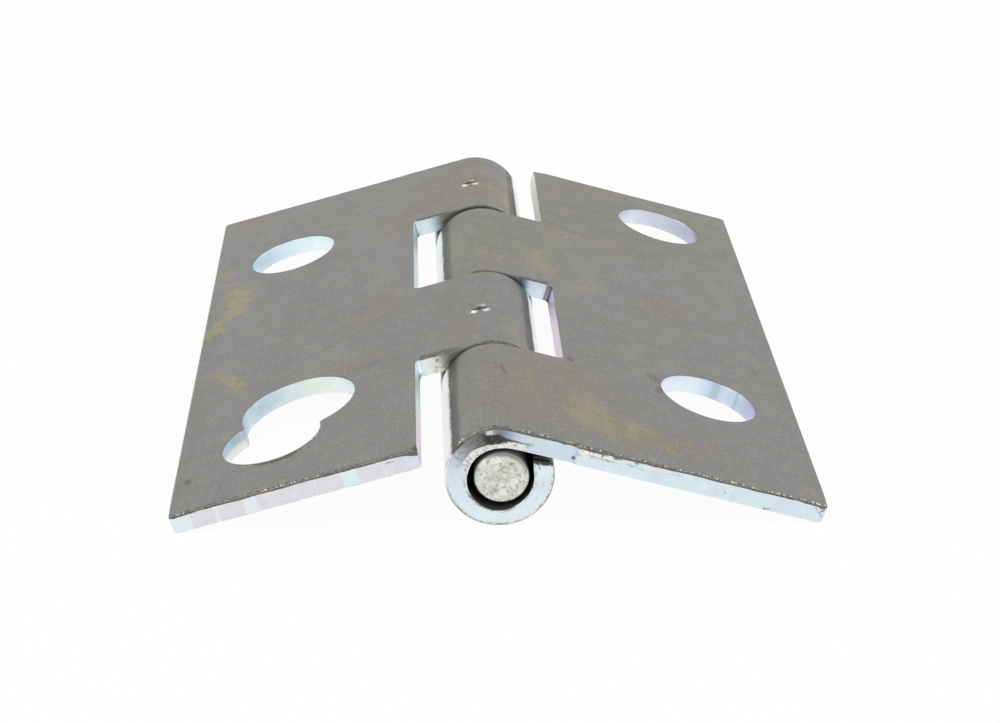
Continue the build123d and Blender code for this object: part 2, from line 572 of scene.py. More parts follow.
def press(bm, leaf):
    """Moves every vertex of a plain blank to where the press leaves it, still uncurled."""
    rim = bm.verts.layers.float["rim"]
    blank = bm.verts.layers.float_vector.new("blank")
    pit = bm.verts.layers.float.new("pit")
    glint = bm.verts.layers.float.new("glint")
    tear = bm.verts.layers.float.new("tear")
    bm.normal_update()
    walls = {vert: out_of_wall(vert) for vert in bm.verts if on_cut(vert, rim)}
    for vert in bm.verts:
        place = vert.co.copy()
        depth = -place.z
        size = shoulder_size(place, leaf)
        top = CLEARANCE + max(round_drop(vert[rim], size), round_drop(place.x - tab_end, lip_round))
        top += corner_drag(place, leaf["corners"])
        bottom = sheet - round_drop(leaf_width - place.x, tip_round)
        bottom += level(leaf["bore_lip"], place.x) * (1 - smooth(place.y, 0.3, 1.0))
        for mark in leaf["marks"]:
            away = (place.xy - mark).length
            if away < MARK_REACH:
                top += mark_pit(away)
                bottom += mark_nub(away)
                vert[pit] = 1 - smooth(away, 0.0, MARK_RADIUS)
                vert[glint] = mark_glint(place.xy - mark)
        new_depth = top + (bottom - top) * depth / sheet
        vert.co.z = sheet_wave(place) - new_depth
        out = walls.get(vert)
        if out is not None:
            vert[tear] = tear_depth(place, leaf)
            vert.co -= out * torn_wall(new_depth, place, vert[tear])
        vert.co.y += side_bulge(place, new_depth, leaf["ends"])
        vert.co.x += lip_slant(place, new_depth) - tip_pull(place, new_depth)
        vert[blank] = (place.x, place.y, new_depth)


# %% [markdown]
# ## What plating and use leave
#
# Clear passivation leaves faint pools of yellow, brown and green where it dried, and the cut walls show
# film colours: lilac, pale blue, pale green and cream, with painted light and shade. Dirt and painted shade
# darken the shoulders, and painted shade the creases.
#
# A picture could be painted on, but the shapes are few and soft. Each is a bell curve round a place on the
# blank, stored per vertex, and the material breaks its border up with noise.

# %% Pools, and dirt and painted shade per vertex
def pooled(place, pools):
    """Amounts of yellow, brown and green at a place."""
    amounts = [0.0, 0.0, 0.0]
    for kind, ovals in enumerate(pools):
        for out, along, reach_out, reach_along, turn, amount in ovals:
            away = Matrix.Rotation(math.radians(turn), 2) @ (place.xy - Vector((out, along)))
            amounts[kind] += amount * oval_bell(away, reach_out, reach_along)
    return amounts


def seat_dirt_and_shade(place):
    """Dirt and painted shade on the near side of the keyhole's seat: thick in the middle, thin towards both
    sides.
    """
    centre, radius = keyhole[0]
    away = place.xy - centre
    if away.length > radius + SHOULDER + SEAM:
        return 0.0
    turn = math.atan2(away.x, -away.y)
    thick = 4.0 * between(turn, -0.55, 0.25, 0.15)
    return 0.9 * between(turn, 0.3, 0.95, 0.1) + thick + 1.3 * between(turn, -1.3, -0.55, 0.1)


def shoulder_dirt_and_shade_amount(place, leaf):
    """Dirt, painted shade and roughness of the shoulder: most along the front and the keyhole's seat, less at
    the joints.
    """
    if into_hole(place, leaf["holes"]) is not None:
        return seat_dirt_and_shade(place) if leaf["marks"] else 0.0
    if place.x > leaf_width - 0.4 and place.y > 0.6 or on_window_side(place, leaf["window_edge"]):
        return 0.0
    if place.y < FRONT_STRIP:
        return level(leaf["front_wear"], place.x)
    for (start, _), amount in zip(leaf["tabs"], leaf["joint_wear"]):
        if 0.0 <= place.y - start < 0.8:
            return amount * between(place.x, -4.0, 5.2, 0.3) * (1 + 2.2 * smooth(place.x, 1.0, 2.5))
    return 0.1


# %% Film colours and painted light and shade of the cut walls
def film_in_hole(place, out, holes, films):
    """Film colour with painted light and shade round a hole, by the way the wall faces: 0 degrees is its far
    side, 90 its side towards the tip.
    """
    for (centre, radius), stops in zip(holes, films):
        if abs((place.xy - centre).length - radius) < 0.12:
            return Vector(level(stops, math.degrees(math.atan2(-out.x, -out.y))))
    return None


# Stops are (angle, colour) for each hole, and (distance out from the pin, colour) for the other walls.
RIGHT_HOLE_FILMS = [
    [
        (-95, (1.0, 0.87, 0.98)), (-60, (0.97, 0.91, 1.0)), (-35, (0.84, 0.93, 1.0)),
        (-10, (0.84, 0.96, 1.0)), (2, (0.74, 0.87, 0.97)), (12, (0.62, 0.74, 0.86)), (17, (0.48, 0.6, 0.7)),
        (22, (0.5, 0.62, 0.72)), (28, (0.72, 0.82, 0.96)), (45, (0.68, 0.8, 0.94)), (48, (0.5, 0.6, 0.7)),
        (51, (0.7, 0.8, 0.94)), (70, (0.62, 0.66, 0.82)), (95, (0.72, 0.66, 0.9)),
    ],
    [
        (-80, (0.7, 0.69, 0.76)), (-35, (0.82, 0.88, 0.96)), (10, (0.69, 0.72, 0.82)),
        (50, (0.66, 0.67, 0.79)), (90, (0.56, 0.5, 0.6)),
    ],
]
LEFT_HOLE_FILMS = [
    [
        (-100, (0.66, 0.78, 0.8)), (-60, (0.88, 0.98, 0.99)), (-20, (0.86, 0.98, 0.99)),
        (30, (0.74, 0.9, 0.97)), (110, (0.68, 0.84, 0.93)),
    ],
    [
        (20, (0.7, 0.7, 0.74)), (42, (0.6, 0.7, 0.76)), (58, (0.5, 0.64, 0.74)), (66, (0.58, 0.76, 0.85)),
        (90, (0.58, 0.66, 0.82)),
    ],
    [
        (-95, (0.72, 0.86, 0.88)), (-70, (0.84, 0.95, 0.98)), (-40, (0.86, 0.96, 0.94)),
        (-12, (0.84, 0.93, 0.82)), (5, (0.78, 0.88, 0.86)), (25, (0.72, 0.84, 0.91)),
        (50, (0.7, 0.86, 0.95)), (70, (0.78, 0.93, 0.98)), (90, (0.62, 0.62, 0.82)),
    ],
]
FRONT_FILM = [
    (-17.6, (0.78, 0.89, 0.95)), (-14.0, (0.77, 0.87, 0.91)), (-9.0, (0.77, 0.87, 0.91)),
    (-6.5, (0.7, 0.78, 0.84)), (-3.0, (0.64, 0.72, 0.79)), (0.0, (0.64, 0.74, 0.81)),
    (4.8, (0.64, 0.74, 0.81)), (5.1, (0.73, 0.84, 0.9)), (24.8, (0.71, 0.82, 0.88)),
]
# Where the joint walls lie in the knuckles' shade, their films are painted dark: painted shade.
RIGHT_JOINT_FILM = [
    (2.1, (0.2, 0.2, 0.21)), (2.5, (0.34, 0.38, 0.45)), (2.9, (0.72, 0.86, 0.97)), (4.3, (0.78, 0.92, 1.0)),
    (4.7, (0.5, 0.52, 0.62)), (4.95, (0.22, 0.22, 0.27)),
]
LEFT_JOINT_FILM = [
    (2.6, (0.3, 0.31, 0.28)), (3.1, (0.42, 0.43, 0.39)), (3.7, (0.85, 0.87, 0.82)),
    (4.4, (0.93, 0.97, 0.96)), (5.3, (0.78, 0.9, 0.93)),
]
LEFT_REAR_JOINT_FILM = [
    (1.5, (0.3, 0.31, 0.28)), (2.7, (0.36, 0.38, 0.35)), (3.3, (0.55, 0.63, 0.65)),
    (4.0, (0.82, 0.94, 0.98)), (5.3, (0.76, 0.93, 0.98)),
]
REAR_FILM = (0.72, 0.78, 0.84)
LEFT_REAR_FILM = [
    (-17.6, (0.74, 0.82, 0.88)), (-9.0, (0.74, 0.82, 0.88)), (-4.0, (0.6, 0.66, 0.72)),
    (4.0, (0.66, 0.74, 0.8)), (6.0, (0.76, 0.79, 0.86)),
]


def right_wall_colour(place, out, depth):
    """Pale blue along the front and round the knuckle, purple on the window's side, with painted light and
    shade.
    """
    hole = film_in_hole(place, out, right_holes, RIGHT_HOLE_FILMS)
    if hole is not None:
        return hole
    if on_window_side(place, right_window_edge):
        # Painted light near the front of the window side, grey further back, and navy painted shade in its
        # corner at the second joint.
        at_corner = between(place.y, second_joint - 0.7, second_joint + 0.5, 0.15)
        side = Vector((1.0, 0.9, 1.0)) if place.y < right_knuckles[1][0] + 1.0 else Vector((0.7, 0.7, 0.68))
        return side.lerp(Vector((0.2, 0.2, 0.28)), 0.9 * at_corner)
    if place.y > leaf_length - FRONT_STRIP or place.x > leaf_width - 0.6 and place.y > 0.6:
        return Vector(REAR_FILM)
    if place.y < FRONT_STRIP:
        haze = smooth(uneven(place, 2.5, 1.0), 0.1, 0.5)
        return Vector(level(FRONT_FILM, place.x)).lerp(Vector((0.7, 0.74, 0.84)), 0.5 * haze)
    return Vector(level(RIGHT_JOINT_FILM, place.x))


def left_wall_colour(place, out, depth):
    """Lilac along the front, film colours in the holes, pink to pale cyan in the windows, near white as
    painted light.
    """
    hole = film_in_hole(place, out, left_holes + keyhole, LEFT_HOLE_FILMS)
    if hole is not None:
        in_seat = place.y < keyhole[0][0].y + 3.5
        return hole.lerp(Vector((1.0, 0.98, 0.9)), 0.9 * smooth(depth, 0.7, 0.95)) if in_seat else hole
    if place.y > leaf_length - FRONT_STRIP:
        return Vector(level(LEFT_REAR_FILM, place.x))
    if place.x > leaf_width - 0.6 and place.y > 0.6:
        return Vector(REAR_FILM)
    if place.y < FRONT_STRIP:
        return Vector((0.775, 0.755, 0.795)).lerp(Vector((0.75, 0.76, 0.83)), 1 - smooth(place.x, 5.5, 9.5))
    if on_window_side(place, left_window_edge):
        return Vector((1.0, 0.85, 1.0)).lerp(Vector((0.82, 0.97, 1.0)), smooth(place.y, 5.0, 10.0))
    return Vector(level(LEFT_JOINT_FILM if place.y < 20 else LEFT_REAR_JOINT_FILM, place.x))


# %% The vertices get their marks
def mark_finish(bm, leaf):
    """Stores pools, dirt and painted shade, and wall colour with its painted light on the pressed blank."""
    layers = bm.verts.layers
    blank, rim = layers.float_vector["blank"], layers.float["rim"]
    pool, tint = layers.float_vector.new("pool"), layers.float_vector.new("tint")
    wear = layers.float.new("wear")
    bm.normal_update()
    for vert in bm.verts:
        place = Vector((vert[blank].x, vert[blank].y, 0))
        vert[pool] = pooled(place, leaf["pools"])
        vert[wear] = shoulder_dirt_and_shade_amount(place, leaf)
        if on_cut(vert, rim):
            vert[tint] = leaf["wall_colour"](place, out_of_wall(vert) or Vector((0, -1, 0)), vert[blank].z)


# %% [markdown]
# ## Curling the knuckles
#
# The real tab is rolled round a mandrel. Blender has a Simple Deform modifier with a Bend mode, but it
# bends the whole piece. A few lines that wrap the blank's tab round the pin's axis are exact and keep the
# flat part flat: each millimetre of tab turns by the same angle at the middle of the sheet's thickness.

# %% Curl, slope and side
def curl(place):
    """A point of the blank in the leaf's own frame: out from the pin, along the pin, up."""
    radius = knuckle_radius + place.z
    if place.x >= 0:
        return Vector((place.x, place.y, radius))
    turned = math.pi / 2 + min(-place.x, curl_length) / bend_radius
    past = max(-place.x - curl_length, 0.0)
    out = radius * math.cos(turned) - past * math.sin(turned)
    up = radius * math.sin(turned) + past * math.cos(turned)
    return Vector((out, place.y, up))


def set_in_place(bm, side):
    """Curls the blank, slopes the leaf down to the table and shrinks it to metres. Side is 1 or -1."""
    for vert in bm.verts:
        vert.co = curl(vert.co)
    bmesh.ops.rotate(bm, cent=(0, 0, 0), matrix=Matrix.Rotation(slope, 3, "Y"), verts=bm.verts)
    bmesh.ops.translate(bm, vec=(0, -leaf_length / 2, knuckle_radius), verts=bm.verts)
    bmesh.ops.scale(bm, vec=(side * MM, MM, MM), verts=bm.verts)
    bmesh.ops.recalc_face_normals(bm, faces=bm.faces[:])


SHARP_ANGLE = math.radians(38)


def finish_piece(bm, name, materials, is_cut):
    """Makes the object: soft shading, sharp edges where it turns, and a second finish for the cut faces."""
    for face in bm.faces:
        face.smooth = True
        face.material_index = 1 if is_cut(face) else 0
    for edge in bm.edges:
        edge.smooth = edge.calc_face_angle(0.0) < SHARP_ANGLE
    mesh = bpy.data.meshes.new(name)
    bm.to_mesh(mesh)
    bm.free()
    for material in materials:
        mesh.materials.append(material)
    piece = bpy.data.objects.new(name, mesh)
    bpy.context.collection.objects.link(piece)
    print(name, "vertices", len(mesh.vertices), "faces", len(mesh.polygons))
    return piece


# %% [markdown]
# ## Finishes
#
# All three pieces are zinc-plated steel. The rolled faces are a satin grey with faint yellow, brown and
# green pools; the grey is darker than the metal's own, a painted shade of a dark room above them. The cut
# walls are brighter and bluer, because the fresh cut was smoother, and partly as painted light from the
# white table that they face.
#
# The patterns follow the blank, not the room: each leaf keeps its blank position as an attribute, so a
# pool runs over a knuckle as it would on the real sheet.
#
# In the editor each sum is a Math node, and a worn metal has hundreds of them. They could be placed by hand
# or copied as a node group. Here a small class stands for a node's output, so that the code can write
# a * b where the editor would show a node, and a finish reads like a recipe.

# %% Values of the node tree
class Value:
    """A node's output that can be reckoned with: a * b adds a Math node that multiplies them."""

    def __init__(self, socket):
        self.socket = socket
        self.tree = socket.id_data

    def step(self, operation, second=0.0, third=0.0):
        """Adds one Math node that takes this value first."""
        return put(self.tree, "ShaderNodeMath", {0: self, 1: second, 2: third}, operation=operation)

    def __add__(self, other):
        return self.step("ADD", other)

    def __sub__(self, other):
        return self.step("SUBTRACT", other)

    def __mul__(self, other):
        return self.step("MULTIPLY", other)

    def __truediv__(self, other):
        return self.step("DIVIDE", other)

    def __lt__(self, other):
        return self.step("LESS_THAN", other)

    def __gt__(self, other):
        return self.step("GREATER_THAN", other)

    def __abs__(self):
        return self.step("ABSOLUTE")

    def at_least(self, other):
        """The larger of two values."""
        return self.step("MAXIMUM", other)

    def at_most(self, other):
        """The smaller of two values."""
        return self.step("MINIMUM", other)

    def near(self, other, within):
        """1 where the value is that close to the other, else 0."""
        return self.step("COMPARE", other, within)


def feed(socket, value):
    """Links a value to a node's input, or sets the input to a plain number or colour."""
    if isinstance(value, Value):
        socket.id_data.links.new(value.socket, socket)
    elif socket.type == "RGBA":
        socket.default_value = (*value, 1)
    else:
        socket.default_value = value


def put(tree, kind, inputs=None, output=0, **settings):
    """Adds a node, makes its plain settings, fills its inputs and gives one of its outputs."""
    node = tree.nodes.new(kind)
    for key, value in settings.items():
        setattr(node, key, value)
    for key, value in (inputs or {}).items():
        feed(node.inputs[key], value)
    return Value(node.outputs[output])


# %% Node helpers
def new_finish(name):
    """A new material, its node tree and its shader."""
    material = bpy.data.materials.new(name)
    material.use_nodes = True
    return material, material.node_tree, material.node_tree.nodes["Principled BSDF"]


def stored(tree, name, output="Fac"):
    """A value that was stored on the piece's vertices."""
    return put(tree, "ShaderNodeAttribute", output=output, attribute_name=name)


def parts(vector):
    """The three numbers of a vector. On the blank they are out from the pin, along it, and depth."""
    split = put(vector.tree, "ShaderNodeSeparateXYZ", {"Vector": vector}).socket.node
    return [Value(output) for output in split.outputs]


def noise_pattern(position, scale, detail=3.0, roughness=0.55, stretch=(1, 1, 1), shift=(0, 0, 0)):
    """A noise texture on the blank position. Scale is in patterns per millimetre."""
    place = put(position.tree, "ShaderNodeMapping", {"Scale": stretch, "Location": shift, "Vector": position})
    settings = {"Scale": scale, "Detail": detail, "Roughness": roughness, "Vector": place}
    return put(position.tree, "ShaderNodeTexNoise", settings, "Fac")


def ramp(value, stops, interpolation="EASE"):
    """A colour ramp. Stops are (position, grey or colour)."""
    colour = put(value.tree, "ShaderNodeValToRGB", {"Fac": value}, "Color")
    node = colour.socket.node
    node.color_ramp.interpolation = interpolation
    elements = node.color_ramp.elements
    while len(elements) < len(stops):
        elements.new(0.5)
    for element, (position, shade) in zip(elements, stops):
        element.position = position
        element.color = (*shade, 1) if isinstance(shade, tuple) else (shade, shade, shade, 1)
    return colour


def rise(value, start, end, top=1.0):
    """Goes softly up from 0 at start to the top at end."""
    return ramp(value, [(start, 0.0), (end, top)])


def fall(value, start, end, top=1.0):
    """Goes softly down from the top at start to 0 at end."""
    return ramp(value, [(start, top), (end, 0.0)])


def mix(amount, first, second, blend="MIX"):
    """Mixes two colours. Each may be a value or a plain colour."""
    tree = next(item.tree for item in (first, second, amount) if isinstance(item, Value))
    return put(tree, "ShaderNodeMix", {0: amount, 6: first, 7: second}, 2, data_type="RGBA", blend_type=blend)


def tinted(colour, pattern, stops):
    """Multiplies a colour by what a ramp makes of a pattern."""
    return mix(1.0, colour, ramp(pattern, stops, "LINEAR"), "MULTIPLY")


def oval(position, centre, reach, turn=0.0, tilt=0.0):
    """1 inside an oval on the blank, 0 outside. Turned in the face, tilted in the front wall."""
    turns = (0, math.radians(tilt), math.radians(turn))
    inputs = {"Location": centre, "Rotation": turns, "Scale": reach, "Vector": position}
    away = put(position.tree, "ShaderNodeMapping", inputs, vector_type="TEXTURE")
    length = put(position.tree, "ShaderNodeVectorMath", {0: away}, "Value", operation="LENGTH")
    return fall(length, 0.6, 1.0)


def bump(shader, height, distance, strength=1.0):
    """Connects a height to the shader's normal. Distance is in metres."""
    inputs = {"Distance": distance, "Strength": strength, "Height": height}
    feed(shader.inputs["Normal"], put(height.tree, "ShaderNodeBump", inputs, "Normal"))


def set_shader(shader, colour, metallic, roughness):
    """Fills the shader's colour, metal and roughness with values or plain numbers."""
    feed(shader.inputs["Base Color"], colour)
    feed(shader.inputs["Metallic"], metallic)
    feed(shader.inputs["Roughness"], roughness)


# %% [markdown]
# ## Rolled faces
#
# Zinc plate is never one grey. The bath leaves slow clouds along the rolling direction, drying leaves pools,
# and the steel's own grain shows through. One noise in the base colour would look like concrete, so each of
# these has a scale of its own, and their colours differ by only a few percent.
#
# Where a tab turns down into its curl, a dark line is painted, and a painted sheen below it stands in for the
# flank's reflection, where the rolling also left it smoother, and fades out under the knuckle. Dirt and
# painted shade darken the shoulder, with a row of painted highlights on beads that the punch raised.

# %% Colours of the plate and of its pools
# The plate's grey is painted shade: darker than the metal's own silver, as faces that look up at a dark room.
PLATE_DARK, PLATE_LIGHT = (0.225, 0.222, 0.214), (0.252, 0.247, 0.238)
BLUE_HAZE = (0.218, 0.216, 0.242)
DIRT_AND_SHADE_BROWN = (0.15, 0.14, 0.115)
DARK_DIRT_AND_SHADE = (0.08, 0.075, 0.06)
PAINTED_SHEEN_WHITE = (0.93, 0.93, 0.92)

# Colour, strength and pattern scale of the yellow, the brown and the green pools.
POOL_KINDS = [
    ((0.315, 0.285, 0.182), 1.0, 0.9),
    ((0.246, 0.22, 0.184), 0.7, 0.7),
    ((0.214, 0.226, 0.187), 0.6, 0.6),
]
ALONG_ROLL = (1, 0.45, 1)


def plate_colour(position, grain):
    """Grey plate with a slow cloud, a bluish haze, the stored pools, hue mottles and grain."""
    cloud = noise_pattern(position, 0.16, 5.0, 0.65, ALONG_ROLL)
    colour = ramp(cloud, [(0.3, PLATE_DARK), (0.7, PLATE_LIGHT)])
    haze = noise_pattern(position, 0.28, 5.0, 0.7, ALONG_ROLL, (-9, 14, 0))
    colour = mix(rise(haze, 0.5, 0.72, 0.75), colour, BLUE_HAZE)
    amounts = parts(stored(position.tree, "pool", "Vector"))
    for index, (pool_colour, strength, scale) in enumerate(POOL_KINDS):
        pattern = noise_pattern(position, scale, 6.0, 0.76, ALONG_ROLL, (7 * index + 3, 5 - index, 2))
        patchy = rise(amounts[index] * 0.7 + pattern * 1.7 - 0.45, 0.45, 1.0)
        colour = mix(patchy * strength, colour, pool_colour)
    hue = noise_pattern(position, 1.0, 5.0, 0.8, ALONG_ROLL, (21, 3, -8))
    colour = tinted(colour, hue, [(0.36, (0.95, 0.96, 1.05)), (0.5, 1.0), (0.64, (1.04, 1.03, 0.94))])
    colour = tinted(colour, grain, [(0.25, (0.76, 0.76, 0.77)), (0.5, 1.0), (0.75, (1.26, 1.26, 1.25))])
    tone = noise_pattern(position, 3.6, 3.0, 0.8, ALONG_ROLL, (8, 2, 5))
    return tinted(colour, tone, [(0.3, (0.96, 0.98, 1.1)), (0.5, 1.0), (0.7, (1.05, 1.02, 0.9))])


# %% Painted sheen on the flank and painted shade in the bore
OUTER_DEPTH = 0.8
BORE_DEPTH = 1.0
FRONT = 0.6
# Colours of the flanks' painted sheen, which stands in for their reflection.
PAINTED_SHEEN = [(0.36, (0.9, 0.86, 0.96)), (0.5, PAINTED_SHEEN_WHITE), (0.62, (0.93, 0.94, 0.84))]
# Painted shade in the bores, darkest below the pin.
BORE_PAINTED_SHADE = [(0.3, (0.13, 0.13, 0.16)), (0.4, (0.045, 0.045, 0.035))]


def painted_flank_sheen(position, colour):
    """Where a tab turns down, a painted dark line, with a painted sheen below it for the flank's reflection.
    """
    out, _, depth = parts(position)
    outer = depth < OUTER_DEPTH
    waver = noise_pattern(position, 2.4, 5.0, 0.8) - 0.5
    down = (out + waver) * (1 / 3) + 2.0
    # Painted shade: a dark line where the tab turns down.
    line = ramp(down, [(0.5, 0.0), (0.57, 0.9), (0.74, 0.7), (0.87, 0.0)])
    colour = mix(line * outer, colour, (0.085, 0.09, 0.075))
    # Painted sheen below the line, fading out under the knuckle; the same mask lowers the roughness there.
    fades_under_knuckle = ramp(out * -0.1, [(0.6, 1.0), (0.78, 0.25)])
    painted_sheen_mask = fall(down, 0.46, 0.545) * outer * fades_under_knuckle
    sheen = ramp(noise_pattern(position, 0.35, 3.0, 0.65, shift=(1, 6, 3)), PAINTED_SHEEN)
    return mix(painted_sheen_mask, colour, sheen), painted_sheen_mask


def painted_bore_shade(position, colour):
    """The inside of the knuckles is dull, with painted shade that is darkest below the pin."""
    out, _, depth = parts(position)
    bore = (depth > BORE_DEPTH) * (out < 4.0)
    return mix(bore * 0.85, colour, ramp(out * -0.05, BORE_PAINTED_SHADE)), bore


# %% Shoulder with dirt and painted shade, and its painted highlight dots
def dirty_shaded_shoulder(position, colour, grain):
    """Dirt and painted shade along the cut, as wide as the stored amount says, and a paler line along the
    tip, a painted reflection.
    """
    out, along, _ = parts(position)
    wear, rim = stored(position.tree, "wear"), stored(position.tree, "rim")
    ragged = noise_pattern(position, 3.0, 5.0, 0.82) * 1.3 - 0.65
    edge = (rim + ragged) / wear.at_least(0.5)
    # Dirt and painted shade on the shoulder's rounded edge.
    darkened = ramp(edge, [(0.0, 0.6), (0.09, 1.0), (0.22, 0.0)]) * wear.at_most(1.0)
    colour = mix(darkened, colour, ramp(grain, [(0.4, DARK_DIRT_AND_SHADE), (0.6, DIRT_AND_SHADE_BROWN)]))
    # A paler line along the tip's rounded edge: a painted reflection.
    tip = (out > leaf_width - 0.3) * fall(rim, 0.02, 0.11, 0.8)
    return mix(tip * (along > FRONT), colour, (0.52, 0.6, 0.62))


def painted_bead_highlights(position, colour, highlight_stops):
    """Painted highlights: pale dots in a row on the shoulder, where the punch raised beads. The stops say how
    dense they are.
    """
    out, along, depth = parts(position)
    wear, rim = stored(position.tree, "wear"), stored(position.tree, "rim")
    place = put(position.tree, "ShaderNodeMapping", {"Scale": (1, 0.45, 0.45), "Vector": position})
    beads = put(position.tree, "ShaderNodeTexVoronoi", {"Scale": 5.2, "Vector": place}, "Distance")
    in_row = ramp(rim, [(0.07, 0.0), (0.12, 1.0), (0.21, 1.0), (0.27, 0.0)])
    rough_edge = (along < FRONT).at_least(wear.near(1.3, 0.15))
    bead_highlight = fall(beads, 0.22, 0.4) * in_row * (depth < OUTER_DEPTH) * rough_edge
    return mix(bead_highlight * ramp(out * 0.03 + 0.25, highlight_stops), colour, (0.82, 0.8, 0.66))


# %% Rolled face of the zinc plate
ANYWHERE = 9


def plated_face_finish(name, blemishes, highlight_stops):
    """Satin zinc plate: pools, dirty spots, a painted sheen on the flanks, painted shade in the bores and
    pits, a shoulder with dirt and painted shade, punch marks with painted highlights.
    """
    material, tree, shader = new_finish(name)
    position = stored(tree, "blank", "Vector")
    grain = noise_pattern(position, 4.2, 4.0, 0.8, ALONG_ROLL)
    colour = plate_colour(position, grain)
    for out, along, reach_out, reach_along, turn, amount in blemishes:
        spot = oval(position, (out, along, 0), (reach_out, reach_along, ANYWHERE), turn)
        colour = mix(spot * rise(grain, 0.4, 0.56, 1.3 * amount), colour, DIRT_AND_SHADE_BROWN)
    colour, painted_sheen_mask = painted_flank_sheen(position, colour)
    colour, bore = painted_bore_shade(position, colour)
    colour = dirty_shaded_shoulder(position, colour, grain)
    colour = painted_bead_highlights(position, colour, highlight_stops)
    # Painted shade in the punch pits.
    colour = mix(rise(stored(tree, "pit"), 0.24, 0.5, 0.9), colour, (0.05, 0.045, 0.04))
    # Painted highlights in front of each pit, with a lower roughness there.
    glint = stored(tree, "glint")
    colour = mix(glint, colour, (0.86, 0.85, 0.85))
    satin = ramp(noise_pattern(position, 0.4, 5.0, 0.65), [(0.3, 0.4), (0.7, 0.5)])
    set_shader(shader, colour, bore * -0.5 + 1.0, mix(painted_sheen_mask.at_least(glint), satin, (0.28, 0.28, 0.28)))
    bump(shader, noise_pattern(position, 2.2, 5.0, 0.65), 0.00006, 0.6)
    return material


# %% [markdown]
# ## Cut walls
#
# A cut wall is only 1.55 mm high, but the camera looks straight at it. It has a film colour that changes
# along the cut, specks and scratches, and the near knuckle has a crease that the rolling folded into its
# end. The crease could be modelled, but it is only about a tenth of a millimetre deep, so it is drawn with
# painted light and shade: a curve along the wall gives its depth, and what lies above and below it gets
# painted shade, a painted highlight and colours of its own.
#
# Outlines are shaken by noise, because a clean oval on a torn wall looks painted on.

# %% Marks on the front wall
def shaken(position):
    """The blank position, shifted to and fro by noise: marks drawn with it get a ragged outline."""
    inputs = {"Scale": 3.2, "Detail": 4.0, "Roughness": 0.75, "Vector": position}
    shake = put(position.tree, "ShaderNodeTexNoise", inputs, "Color")
    inputs = {0: shake, 1: (0.7, 0.0, 0.45), 2: (-0.35, 0.0, -0.225)}
    shift = put(position.tree, "ShaderNodeVectorMath", inputs, operation="MULTIPLY_ADD")
    return put(position.tree, "ShaderNodeVectorMath", {0: position, 1: shift}, operation="ADD")


def front_strokes(position, colour, front, strokes):
    """Scratches, clumps of dirt and painted shade, each an oval with a ragged outline."""
    ragged = shaken(position)
    for out, depth, reach_out, reach_down, tilt, amount, stroke_colour in strokes:
        stroke = oval(ragged, (out, 0, depth), (reach_out, ANYWHERE, reach_down), 0.0, tilt)
        colour = mix(stroke * amount * front, colour, stroke_colour)
    return colour


def front_bands(position, colour, front, bands):
    """Paler stretches of a front wall."""
    out, _, _ = parts(position)
    for start, end, amount in bands:
        inside = (out > start) * (out < end)
        colour = mix(inside * front * amount, colour, (0.79, 0.87, 0.905))
    return colour


def flecks_at_joint(position, colour):
    """Brown flecks on the wall in the front window, where the tab starts to curl."""
    out, along, _ = parts(position)
    at_curl = ramp(out * 0.1, [(0.2, 0.0), (0.26, 1.0), (0.36, 1.0), (0.46, 0.0)])
    in_window = along.near(left_knuckles[0][0], 0.6)
    flecks = noise_pattern(position, 2.6, 4.0, 0.8, (0.8, 1, 1), (2, 5, 1))
    return mix(rise(flecks, 0.5, 0.57, 0.8) * at_curl * in_window, colour, (0.3, 0.28, 0.2))


def torn_zone(position, colour, front):
    """Beside the step the cut tore early: cream above the tear, with brown-grey marks along it."""
    out, _, depth = parts(position)
    near_step = ramp(out * 0.05, [(0.252, 0.0), (0.26, 1.0), (0.36, 0.9), (0.46, 0.15), (0.75, 0.0)]) * front
    tear = depth - stored(position.tree, "tear")
    colour = mix(fall(tear, 0.0, 0.08, 0.9) * near_step, colour, (0.9, 0.9, 0.85))
    along_tear = fall(abs(tear), 0.04, 0.16)
    under_shoulder = fall(depth, 0.2, 0.5)
    marks = noise_pattern(position, 2.6, 5.0, 0.8, (0.6, 1, 1.5), (6, 1, 3))
    marks = rise(marks, 0.49, 0.56) * along_tear.at_least(under_shoulder)
    return mix(marks * near_step, colour, (0.33, 0.3, 0.26))


# %% Crease in the end of the first knuckle
# Colour ramps run from 0 to 1, so the place along the knuckle's end is a share of 8 mm, 0.75 over the pin,
# and depths are written as halves.
CREASE = [(0.12, 0.52), (0.31, 0.53), (0.45, 0.6), (0.58, 0.66), (0.64, 0.65), (0.69, 0.61), (0.73, 0.55),
          (0.8, 0.52), (0.95, 0.5)]
# Painted shade across the knuckle's end outside the crease, darkest near the fold, with a painted highlight
# at 0.525.
CREASE_LIGHT_AND_SHADE = [
    (0.0, (0.72, 0.8, 0.86)), (0.14, (0.54, 0.58, 0.65)), (0.25, (0.36, 0.37, 0.4)),
    (0.36, (0.22, 0.22, 0.22)), (0.45, (0.17, 0.17, 0.17)), (0.51, (0.12, 0.12, 0.105)),
    (0.525, (0.6, 0.63, 0.62)),
    (0.56, (0.62, 0.64, 0.63)), (0.585, (0.36, 0.35, 0.38)), (0.613, (0.25, 0.24, 0.28)),
    (0.64, (0.23, 0.23, 0.27)), (0.688, (0.31, 0.33, 0.39)), (0.74, (0.42, 0.47, 0.54)),
    (0.79, (0.55, 0.62, 0.69)), (0.845, (0.62, 0.7, 0.77)), (0.9, (0.64, 0.74, 0.81)),
]
FOLD_TOP = [(0.5, 0.2), (0.515, 0.25), (0.56, 0.275), (0.635, 0.3), (0.665, 0.38), (0.7, 0.44), (0.8, 0.45),
            (0.87, 0.47)]
